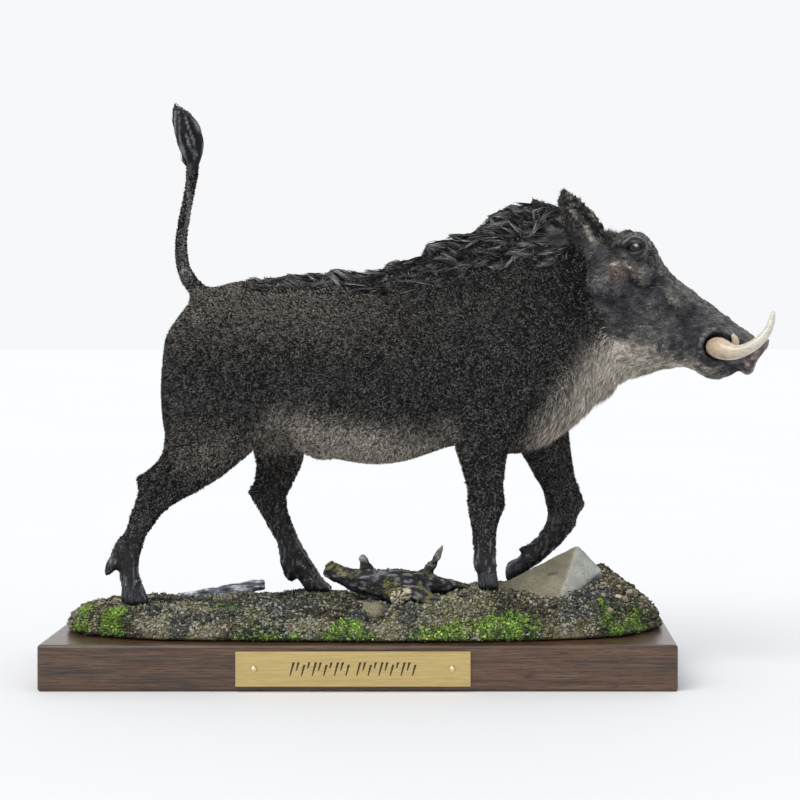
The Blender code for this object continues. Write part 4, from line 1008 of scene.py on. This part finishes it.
def skyline(x):
    """The height of the mane's outline over a place along the back."""
    across, heights = [TUFTS[0][0] - 12], [TUFTS[0][1] - 1.5]
    for number, (tip, high, low) in enumerate(TUFTS):
        across += [tip, tip + 0.1]
        heights += [heights[-1], high]
        if number + 1 < len(TUFTS):
            across.append(TUFTS[number + 1][0] - 0.1)
            heights.append(low)
    across.append(90)
    heights.append(147)
    return np.interp(x, across, heights)


def to_tufts(roots, tips):
    """Draws the tips of the locks near the spine together into the skyline's tufts."""
    tips = tips.copy()
    for tip, high, _ in TUFTS:
        ahead = roots[:, 0] - tip
        near = rise(ahead, 1.5, 4) * (1 - rise(ahead, 9, 12)) * (1 - rise(np.abs(roots[:, 1]), 6, 11))
        near = near * rise(random.random(len(tips)), 0.1, 0.3)
        goal = np.stack([tip + random.normal(0.6, 0.9, len(tips)), roots[:, 1] * 0.8,
                         high + PLINTH_TOP - 0.5 - np.abs(random.normal(0, 1.1, len(tips)))], axis=1)
        tips += (goal - tips) * near[:, None]
    return tips


def locks_on(points, quads, share, locks, hairs, length_of, direction_of, spread, seed_tint, gather=None):
    """Guides and colours of hair locks, whose hairs run together towards their tips."""
    centres, facing = scatter(points, quads, 1.0, share)
    chosen = random.choice(len(centres), min(locks, len(centres)), replace=False)
    centres, facing = centres[chosen], facing[chosen]
    count = len(centres)
    heading = direction_of(figure(centres), facing)
    length = length_of(figure(centres)) * (0.75 + 0.5 * random.random(count))
    tips = centres + heading * length[:, None]
    if gather:
        tips = gather(centres, tips)
    sideways = unit(np.cross(heading, facing))
    bow = random.normal(0, 0.14, count) * length
    which = np.repeat(np.arange(count), hairs)
    total = len(which)
    jitter = random.normal(0, 1, (total, 3)) * spread
    jitter -= facing[which] * (jitter * facing[which]).sum(axis=1, keepdims=True)
    roots = centres[which] + jitter - facing[which] * 0.4
    reach = 0.72 + 0.36 * random.random(total)
    steps = np.linspace(0, 1, LOCK_STEPS)
    guides = []
    wave = random.normal(0, 0.22, total)
    for share_now in steps:
        pull = share_now * reach
        line = roots + (tips[which] - centres[which]) * pull[:, None]
        line -= jitter * (0.86 * share_now**0.8)
        line += sideways[which] * (bow[which] * math.sin(math.pi * share_now))[:, None]
        line += sideways[which] * (wave * math.sin(5.0 * share_now))[:, None]
        line += facing[which] * (0.035 * length[which] * math.sin(math.pi * share_now * 0.9))[:, None]
        guides.append(line)
    guides = np.stack(guides, axis=1)
    edge = np.abs(jitter).sum(axis=1) / spread / 2.4
    lightness = seed_tint + random.normal(0, 0.17, count)[which] + random.normal(0, 0.29, total)
    lightness = np.clip(lightness + 0.12 * (edge - 1), 0, 1)
    dark, pale = np.array((0.006, 0.006, 0.008)), np.array((0.43, 0.435, 0.43))
    tints = []
    for share_now in steps:
        lit = lightness**2.4 * rise(share_now, 0.1, 0.8)
        tints.append(dark + (pale - dark) * lit[:, None])
    across = unit(np.cross(guides[:, -1] - guides[:, 0], facing[which]))
    twist = random.normal(0, 0.7, total)[:, None]
    across = unit(across * np.cos(twist) + facing[which] * np.sin(twist))
    return guides, np.stack(tints, axis=1), across


def make_mane(skins):
    """Messy locks that lie back over the spine, and the tail's tuft."""
    points, quads = skins["mane"]

    def length_of(at):
        return np.interp(at[:, 0], (-46, -20, 10, 40, 60, 82), (4.5, 6, 7.5, 8.5, 9, 6.5))

    def heading(at, facing):
        count = len(at)
        out = np.zeros((count, 3))
        out[:, 0] = -1
        out[:, 1] = random.normal(0, 0.35, count) + 0.010 * at[:, 1]
        out[:, 2] = random.normal(-0.10, 0.42, count) - 0.016 * np.abs(at[:, 1])
        along = out - facing * (out * facing).sum(axis=1, keepdims=True)
        return unit(unit(along) + facing * random.normal(0.05, 0.12, count)[:, None])

    def share(at):
        crowd = 1 + 2.5 * blob(away(at[:, 0], at[:, 2], EAR_BACK), 7)
        crowd = crowd + 2.0 * blob(at[:, 1], 5) * rise(30 - at[:, 0], 0, 20)
        return mane_share(at) * (1 - 0.35 * rise(-at[:, 0], 10, 40)) * crowd

    guides, tints, across = locks_on(
        points, quads, share, LOCKS, HAIRS_A_LOCK, length_of, heading, 0.95, 0.46, to_tufts)
    ragged = noise(guides.reshape(-1, 3), 2.0, 62).reshape(guides.shape[:2])
    ceiling = skyline(guides[:, :, 0]) + PLINTH_TOP - 0.010 * guides[:, :, 1] ** 2 + 0.8 * ragged
    guides[:, :, 2] = np.minimum(guides[:, :, 2], ceiling - np.abs(random.normal(0, 0.5, (len(guides), 1))))
    widths = 0.22 + 0.12 * random.random(len(guides))
    material = coat_material("mane_hair", 0.6, 3.0, 0.8, 1.2, 0.1, 0.1, Specular_IOR_Level=0.14)
    place(ribbons("mane_hair", guides, widths, across, tints, material), "warthog_hide")

    def tuft_share(at):
        return tail_share(at) * rise(at[:, 2], 165, 170)

    def tuft_length(at):
        return np.interp(at[:, 2], (165, 176, 190), (8, 6.5, 1.6))

    def tuft_heading(at, facing):
        target = np.array((-69.5, 0, 190.0))
        out = unit(target - at + random.normal(0, 0.6, at.shape))
        return unit(out + facing * 0.05)

    guides, tints, across = locks_on(points, quads, tuft_share, 110, 30, tuft_length, tuft_heading, 0.6, 0.5)
    widths = 0.20 + 0.10 * random.random(len(guides))
    place(ribbons("tail_hair", guides, widths, across, tints, material), "warthog_hide")


def make_eyes():
    """Glossy painted eyes, set in under the lids."""
    tree = BVHTree.FromPolygons(*bvh_parts("warthog"))
    material, nodes, shader = new_material("eye", Roughness=0.09, Specular_IOR_Level=0.35)
    cloud = grain(nodes, 0.5, 3.0)
    colour = layer(nodes, painted_colour(nodes), (0.004, 0.003, 0.003), cloud, 0.4, 0.7, 0.5)
    nodes.links.new(colour, shader.inputs["Base Color"])
    for name, side in (("eye_right", -1), ("eye_left", 1)):
        lean, turn = math.sin(HEAD_TURN), math.cos(HEAD_TURN)
        outward = Vector((lean * side, turn * side, 0))
        along = Vector((turn, -lean, 0))
        base = Vector((HEAD_PIVOT, 0, 0)) + along * (EYE[0] - HEAD_PIVOT)
        start = base + outward * 60 + Vector((0, 0, EYE[1] + PLINTH_TOP))
        hit = tree.ray_cast(start, -outward, 60)[0]
        centre = hit - outward * (EYE_RADIUS + 0.25)
        shape = bmesh.new()
        bmesh.ops.create_uvsphere(shape, u_segments=44, v_segments=30, radius=EYE_RADIUS)
        points = np.array([tuple(v.co) for v in shape.verts])
        shape.verts.ensure_lookup_table()
        faces = [[v.index for v in face.verts] for face in shape.faces]
        shape.free()
        facing = np.degrees(np.arccos(np.clip(points @ np.array(outward) / EYE_RADIUS, -1, 1)))
        tint = mixed((0.002, 0.002, 0.003), (0.016, 0.010, 0.007), rise(facing, 15, 20))
        tint = mixed(tint, (0.010, 0.009, 0.010), rise(facing, 34, 40))
        # Painted highlight: a pale blue spot on the eyeball, up and forward of its middle
        glint = np.array(outward) * 0.86 + np.array(along) * 0.16 + np.array((0, 0, 0.22))
        glint = np.degrees(np.arccos(np.clip(points @ unit(glint) / EYE_RADIUS, -1, 1)))
        tint = mixed(tint, (0.42, 0.50, 0.60), 0.9 * rise(15 - glint, 0, 6))
        obj = mesh_object(name, points + np.array(centre), faces, tint)
        dress(obj, material)
        place(obj, "warthog_hide")


def bvh_parts(node):
    """Points in millimetres and faces of a CAD node, for ray casting."""
    mesh = NODES[node].data
    return [v.co / MM for v in mesh.vertices], [tuple(p.vertices) for p in mesh.polygons]


def make_tusks():
    material = ivory_material()
    for name in ("upper_tusk_right", "upper_tusk_left", "lower_tusk_right", "lower_tusk_left"):
        obj = welded(name + "_ivory", name)
        subdivision = obj.modifiers.new("rounder", "SUBSURF")
        subdivision.levels = subdivision.render_levels = 2
        obj.data.polygons.foreach_set("use_smooth", np.ones(len(obj.data.polygons), dtype=bool))
        dress(obj, material)
        place(obj, "tusk_ivory", name)


# The groundwork

def moss_share(places):
    """How mossy the ground is, at figure places."""
    share = np.zeros(len(places))
    ragged = 0.45 * noise(places, 5, 71) + 0.35 * noise(places, 1.8, 72)
    for x, y, half_x, half_y in MOSS:
        away = np.hypot((places[:, 0] - x) / half_x, (places[:, 1] - y) / half_y)
        share = np.maximum(share, rise(1.0 + 0.8 * ragged - away, -0.35, 0.45))
    return share


def seen_at(tree, px, py):
    """The place on a surface that a pixel of the photograph shows."""
    origin = Vector(CAMERA_PLACE) / MM
    ray = Vector((px - LEVEL[0], FOCAL_PIXELS, LEVEL[1] - py)).normalized()
    return tree.ray_cast(origin, ray)[0]


# The most soil crumbs, and the pixel of the photograph that shows the small round stone
CRUMBS = 26000
ROUND_STONE = (374, 612)


def moss_colours(places, share):
    """A colour for each bit of moss: lime in the middle of a patch, dark and earthy towards its edges."""
    count = len(places)
    dim = 0.55 * rise(-10 - places[:, 0], 0, 6) * rise(places[:, 0], -70, -60)
    lush = rise(noise(places, 3.2, 75) + 0.5 * noise(places, 1.2, 76) + 1.2 * (share - 0.75) - dim, -0.7, 0.6)
    tone = mixed((0.040, 0.062, 0.045), (0.165, 0.31, 0.05), lush)
    tone = mixed(tone, (0.42, 0.50, 0.14), (random.random(count) < 0.16) * lush)
    earthy = random.random(count) < 0.12 + 0.5 * (1 - share)
    tone = mixed(tone, soil_colours(places), earthy * 0.9)
    return tone * np.exp(random.normal(0, 0.4, (count, 1)))


def soil_colours(places):
    """The painted colour of the soil at figure places: beige, olive and purplish grey patches."""
    x, y, z = places.T
    broad = noise(places, 13, 78) + 0.5 * noise(places, 5, 79)
    colour = mixed((0.075, 0.066, 0.050), (0.27, 0.235, 0.145), rise(broad, -0.5, 0.6))
    low_bank = rise(8.5 - z, 0, 4) * rise(-y, 20, 30)
    colour = mixed(colour, (0.40, 0.35, 0.225), 0.8 * low_bank * rise(noise(places, 9, 80), -0.6, 0.1))
    grey = rise(noise(places, 9, 86) + 0.9 * blob(np.hypot(x - 78, (z - 13) * 1.6), 9), 0.2, 0.6)
    grey = np.maximum(grey, blob(np.hypot(x + 72, (y + 14) * 0.9), 9))
    return mixed(colour, (0.085, 0.087, 0.088), 0.85 * grey) * np.array((1.04, 1.12, 1.06))


def stones(name, places, sizes, tints, material, detail=1, sink=0.2, flat=0.75):
    """Irregular lumps, each turned and sized by itself; crumbs of four faces where detail is 0."""
    if detail:
        shape = bmesh.new()
        bmesh.ops.create_icosphere(shape, subdivisions=detail, radius=1.0)
        ball = np.array([tuple(v.co) for v in shape.verts])
        faces = np.array([[v.index for v in face.verts] for face in shape.faces])
        shape.free()
    else:
        ball = np.array([(1, 1, 1), (1, -1, -1), (-1, 1, -1), (-1, -1, 1)]) * 0.8
        faces = np.array([(0, 1, 2), (0, 3, 1), (0, 2, 3), (1, 3, 2)])
    count = len(places)
    turns = random.normal(0, 1, (count, 3, 3))
    first = unit(turns[:, 0])
    second = unit(np.cross(first, turns[:, 1]))
    third = np.cross(first, second)
    spin = np.stack([first, second, third], axis=1)
    stretch = sizes[:, None, None] * (0.75 + 0.5 * random.random((count, 1, 3)))
    lumps = ball[None] * (1 + random.normal(0, 0.14, (count, len(ball), 1)))
    lumps = np.einsum("nij,njk->nik", lumps * stretch, spin)
    lumps[:, :, 2] *= flat
    lumps += places[:, None] + np.array([0, 0, 1.0]) * (sizes * (flat - sink))[:, None, None]
    points = lumps.reshape(-1, 3)
    each = (np.arange(count) * len(ball))[:, None, None]
    colours = np.repeat(tints, len(ball), axis=0)
    obj = mesh_object(name, points, (faces[None] + each).reshape(-1, 3), colours)
    dress(obj, material)
    return obj


GROUND_VOXEL = 0.95


def make_ground():
    points, faces = finer("groundwork", GROUND_VOXEL, 4, 0)
    normals = normals_of(points, faces)
    places = figure(points)
    free = rise(places[:, 2], 0.4, 2.0) * rise(normals[:, 2], -0.2, 0.2)
    for x, y, top, reach in HOOVES:
        free = free * (1 - 0.85 * rise(reach - np.hypot(places[:, 0] - x, places[:, 1] - y), -1, 2))
    up = 0.55 * noise(places, 4.0, 73) + 0.75 * noise(places, 2.4, 74) - 0.45
    up += 2.2 * blob(np.hypot(places[:, 0] + 97, (places[:, 1] + 18) / 2.5), 7)
    points = points + normals * (up * free)[:, None]
    middles = figure(points)[faces].mean(axis=1)
    part, quads, used = kept_part(points, faces, middles[:, 2] > 0.45)
    at = figure(part)
    painted = mixed(soil_colours(at), (0.035, 0.050, 0.028), 0.8 * moss_share(at))
    soil = mesh_object("soil", part, quads, painted * 0.55)
    dress(soil, soil_material())
    place(soil, "groundwork_soil", "groundwork")
    tree = BVHTree.FromPolygons(part.tolist(), quads.tolist())

    def open_ground(at):
        return rise(at[:, 2], 0.6, 1.8) * (1 - 0.85 * moss_share(at))

    def open_moss(at):
        return rise(at[:, 2], 0.5, 1.4) * moss_share(at)

    tints = np.array([(0.27, 0.235, 0.155), (0.080, 0.062, 0.044), (0.062, 0.060, 0.070), (0.42, 0.38, 0.28),
                      (0.022, 0.018, 0.016), (0.15, 0.14, 0.12)])
    material = coat_material("crumbs", 0.85, 0.5, 0.5, 1.5, 0.6, 0.3, Specular_IOR_Level=0.15)
    found = scatter(part, quads, 2.2, open_ground)[0]
    found = found[:CRUMBS]
    tone = np.clip(soil_colours(figure(found)) * np.exp(random.normal(0.1, 0.8, (len(found), 1))), 0, 0.36)
    sizes = 0.36 + 0.50 * random.random(len(found)) ** 2.2
    place(stones("soil_crumbs", found, sizes, tone, material, 0, 0.45, 0.85), "groundwork_soil")

    def mound(at):
        ridge = rise(at[:, 0], 74, 84) * rise(at[:, 2], 7, 10)
        return open_ground(at) * (0.06 + ridge)

    found = scatter(part, quads, 0.09, mound)[0]
    tone = tints[random.choice(len(tints), len(found), p=(0.36, 0.24, 0.12, 0.14, 0.06, 0.08))]
    sizes = 0.7 + 0.8 * random.random(len(found)) ** 1.8
    spot = seen_at(tree, *ROUND_STONE)
    if spot:
        found = np.concatenate([found, [tuple(spot)]])
        sizes = np.append(sizes, 4.2)
        tone = np.concatenate([tone, [(0.235, 0.215, 0.15)]])
    tone = tone * (0.7 + 0.6 * random.random((len(found), 1)))
    place(stones("soil_pebbles", found, sizes, tone, material, 2, 0.6), "groundwork_soil")

    found = scatter(part, quads, 5.0, open_moss)[0]
    tone = moss_colours(figure(found), moss_share(figure(found)))
    sizes = 0.32 + 0.30 * random.random(len(found))
    place(stones("moss_crumbs", found, sizes, tone, material, 0, 0.35, 0.9), "groundwork_soil")

    found, facing = scatter(part, quads, 9.0, open_moss)
    at = figure(found)
    count = len(found)
    upward = unit(facing + np.array([0, 0, 0.5]) + random.normal(0, 0.55, (count, 3)))
    length = (0.5 + 0.6 * random.random(count))[:, None]
    guides = np.stack([found - facing * 0.1, found + upward * length], axis=1)
    tip = moss_colours(at, moss_share(at))
    tints_moss = np.stack([tip * 0.3, tip], axis=1)
    across = unit(np.cross(upward, random.normal(0, 1, (count, 3))))
    moss_look = coat_material("moss", 0.75, 2.0, 0.8, 1.2, 0.2, 0.2, Specular_IOR_Level=0.2)
    widths = 0.34 + 0.22 * random.random(count)
    place(ribbons("moss", guides, widths, across, tints_moss, moss_look), "groundwork_soil")


# Stone, branch and stick

def make_stone():
    points, faces = finer("stone", 0.75, 2, 0)
    normals = normals_of(points, faces)
    places = figure(points)
    rough = 0.20 * noise(places, 2.6, 81) + 0.14 * noise(places, 1.1, 82) + 0.25 * noise(places, 7.0, 83)
    x, y, z = places.T
    crack = line_distance(x, z, (66.4, 20.3), (69.6, 20.9)) + 6 * rise(y, 6, 8)
    edge_x = np.interp(z, (12.3, 29.5), (70.6, 77.3))
    front = rise(-normals[:, 1], 0.1, 0.4)
    ridge = blob(np.abs(x - edge_x) * 0.93, 0.8) * front
    points = points + normals * (rough + 0.35 * ridge - 0.35 * blob(crack, 0.45))[:, None]
    # Painted light: facets that face right and up are paler, and so is the front face right of its edge
    lit = rise(normals[:, 0] * 0.9 + normals[:, 2] * 0.35, 0.1, 0.5)
    lit = np.maximum(lit, front * rise(x - edge_x, -0.4, 0.4))
    tint = mixed((0.225, 0.215, 0.165), (0.34, 0.36, 0.36), lit)
    # Painted shade: darker in patches where the facets are not painted lit
    facet = rise(noise(places, (9, 9, 5), 84), -0.1, 0.1)
    tint = tint * (1 - 0.14 * facet * (1 - lit))[:, None]
    # Painted highlight along the front edge
    tint = mixed(tint, (0.46, 0.47, 0.45), 0.5 * ridge)
    earth = rise(15.5 - z + 3.5 * noise(places, 3, 85) - 0.25 * (x - 60), 0, 7)
    tint = mixed(tint, (0.17, 0.145, 0.10), 0.75 * earth)
    tint = mixed(tint, (0.055, 0.05, 0.045), 0.8 * blob(crack, 0.4))
    obj = mesh_object("stone_surface", points, faces, tint)
    dress(obj, stone_material())
    place(obj, "stone", "stone")


def bark(node, name, slot, dark, pale, seed, moss_level=0.0, cut=None, pale_spots=()):
    """A weathered branch: bark ridges along it, pale edges, and a mossy tint where moss_level asks for it."""
    points, faces = finer(node, 0.46, 5, 1)
    normals = normals_of(points, faces)
    places = figure(points)
    ridge = noise(places, (4.0, 0.95, 0.95), seed)
    coarse = noise(places, (7.0, 2.0, 2.0), seed + 1)
    knots = noise(places, 1.1, seed + 2)
    up = 0.34 * ridge + 0.26 * coarse + 0.24 * knots
    tint = mixed(dark, pale, rise(0.7 * ridge + 0.5 * knots + 0.3 * coarse, 0.0, 0.75))
    tint = mixed(tint, np.array(dark) * 0.3, rise(-ridge, 0.15, 0.7))
    for spot, reach, colour in pale_spots:
        tint = mixed(tint, colour, 0.85 * blob(np.linalg.norm(places - np.array(spot), axis=1), reach))
    if moss_level:
        mossy = rise(noise(places, 4.0, seed + 3) + 0.6 * normals[:, 2] + moss_level, 0.55, 0.85)
        tint = mixed(tint, (0.16, 0.15, 0.06), 0.8 * mossy * rise(knots, -0.4, 0.4))
    if cut is not None:
        spot, reach = cut
        off = np.hypot(places[:, 0] - spot[0], places[:, 2] - spot[2])
        outward = unit(np.array((2.7, -4.6, -1.5)))
        face_on = rise(normals @ outward, 0.55, 0.8) * rise(reach + 1 - off, -0.5, 0.3)
        face_on = face_on * rise((places - np.array(spot)) @ outward, -1.4, -0.6)
        around = np.arctan2(places[:, 2] - spot[2], places[:, 0] - spot[0])
        rings = rise(np.sin(7 * around + 1.5 * knots) * rise(off, 0.2, 1.4), 0.3, 0.85)
        rings = np.maximum(rings, blob(off, 0.6))
        tint = mixed(tint, (0.62, 0.57, 0.40), face_on)
        tint = mixed(tint, (0.030, 0.024, 0.016), face_on * 0.9 * rings)
        up = up * (1 - 0.7 * face_on) - 0.35 * rings * face_on
    points = points + normals * up[:, None]
    obj = mesh_object(name, points, faces, tint)
    look = coat_material(name + "_look", 0.72, 0.38, 0.25, 1.9, 0.9, 0.35, (5, 1, 1), Specular_IOR_Level=0.2)
    dress(obj, look)
    place(obj, slot, node)
    return points, faces


# The branch's cut end, and its pale spots: the place, the reach and the colour
CUT_END = ((13.5, -24.6, 13.4), 4.0)
PALE_SPOTS = [
    ((28.5, -16, 30.6), 2.6, (0.24, 0.21, 0.15)),
    ((31, -27, 6), 6.0, (0.28, 0.29, 0.30)),
    ((-0.5, -12.5, 27.2), 2.2, (0.28, 0.27, 0.24)),
]


def make_wood():
    points, faces = bark("fallen_branch", "branch_surface", "branch_bark", (0.022, 0.022, 0.025),
                         (0.165, 0.170, 0.182), 91, 0.25, CUT_END, PALE_SPOTS)
    bark("grey_stick", "stick_surface", "stick_bark", (0.13, 0.145, 0.17), (0.62, 0.66, 0.73), 95)

    def crumbly(at):
        patch = noise(at, 5.0, 97) + 0.9 * rise(-6 - at[:, 0], 0, 4) + 0.8 * blob(at[:, 0] - 9, 7)
        return rise(patch, 0.35, 0.7) * rise(at[:, 2], 13, 17) * (1 - rise(at[:, 2], 24, 26))

    found, facing = scatter(points, faces, 1.3, crumbly)
    above = facing[:, 2] > -0.1
    found = found[above]
    tones = np.array([(0.055, 0.050, 0.030), (0.15, 0.135, 0.06), (0.11, 0.14, 0.035), (0.20, 0.175, 0.11)])
    tone = tones[random.choice(len(tones), len(found), p=(0.38, 0.27, 0.18, 0.17))]
    crumb_sizes = 0.25 + 0.4 * random.random(len(found)) ** 2
    look = coat_material("bark_moss", 0.9, 0.4, 0.6, 1.4, 0.6, 0.3, Specular_IOR_Level=0.1)
    place(stones("bark_crumbs", found, crumb_sizes, tone, look, 1, 0.6), "branch_bark")


# Plinth and plate

STROKE_DEPTH = 0.3
STROKE_LEAN = 0.28
STROKE_WIDTH = 0.62
STROKE_STEP = 1.9
STROKE_HEIGHT = 4.6
STROKE_SHARES = (1.0, 0.62, 0.82, 0.45)
# How many strokes there are, and the one that is left out for a space
STROKES = 23
SPACE = 11


def add_stroke(shape, x, z, height):
    """One wedge-shaped stroke to be cut into the plate, as a closed prism."""
    low, high = z - height / 2, z + height / 2
    shift = STROKE_LEAN * height / 2
    outline = [(x - shift - STROKE_WIDTH * 0.32, low), (x - shift + STROKE_WIDTH * 0.32, low),
               (x + shift + STROKE_WIDTH * 0.7, high), (x + shift - STROKE_WIDTH * 0.7, high)]
    front = [shape.verts.new((px * MM, -1.0 * MM, pz * MM)) for px, pz in outline]
    back = [shape.verts.new((px * MM, STROKE_DEPTH * MM, pz * MM)) for px, pz in outline]
    shape.faces.new(front)
    shape.faces.new(back[::-1])
    for i in range(4):
        j = (i + 1) % 4
        shape.faces.new((front[j], front[i], back[i], back[j]))


def make_plate():
    """The brass plate, engraved with a row of strokes that aren't letters."""
    low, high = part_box("nameplate")
    middle = (low + high) / 2 / MM
    shape = bmesh.new()
    for number in range(STROKES):
        if number != SPACE:
            height = STROKE_HEIGHT * STROKE_SHARES[number % len(STROKE_SHARES)]
            off = (STROKE_HEIGHT - height) / 2
            x = (number - (STROKES - 1) / 2) * STROKE_STEP
            add_stroke(shape, x, off if number % 2 else -off, height)
    mesh = bpy.data.meshes.new("strokes")
    bmesh.ops.recalc_face_normals(shape, faces=shape.faces)
    shape.to_mesh(mesh)
    shape.free()
    cutter = link(bpy.data.objects.new("strokes", mesh))
    cutter.location = (middle[0] * MM, low[1], middle[2] * MM)
    plate = welded("plate_engraved", "nameplate")
    gold = brass_material("brass", (0.72, 0.56, 0.25), (0.46, 0.34, 0.14), 0.34)
    ink = mottled_material("engraving", (0.030, 0.022, 0.012), (0.085, 0.065, 0.035), 0.6, 0.5)
    dress(plate, gold, ink)
    dress(cutter, ink)
    cut = plate.modifiers.new("engraved", "BOOLEAN")
    cut.operation = "DIFFERENCE"
    cut.solver = "EXACT"
    cut.material_mode = "TRANSFER"
    cut.object = cutter
    bpy.context.view_layer.update()
    done = bpy.data.meshes.new_from_object(plate.evaluated_get(bpy.context.evaluated_depsgraph_get()))
    plate.modifiers.clear()
    plate.data = done
    bpy.data.objects.remove(cutter)
    place(plate, "nameplate_brass", "nameplate")


def mottled_material(name, dark, pale, roughness, size, **fixed):
    """A plain mottled finish between two colours."""
    material, tree, shader = new_material(name, **fixed)
    speck = grain(tree, size, 4.0)
    colour = blend(tree, ranged(tree, speck, 0.35, 0.65), dark, pale)
    finish_material(tree, shader, colour, speck, roughness + 0.1, roughness - 0.1, 0.2, 0.1)
    return material


def dress_plinth():
    dress(NODES["plinth"], wood_material())
    pin = brass_material("pin_brass", (0.86, 0.76, 0.52), (0.55, 0.44, 0.26), 0.22)
    for name in ("nameplate_pin_left", "nameplate_pin_right"):
        dress(NODES[name], pin)


make_studio()
skins = make_skin()
make_eyes()
make_tusks()
make_coat(skins)
make_face_hair(skins)
make_mane(skins)
make_ground()
make_stone()
make_wood()
make_plate()
dress_plinth()
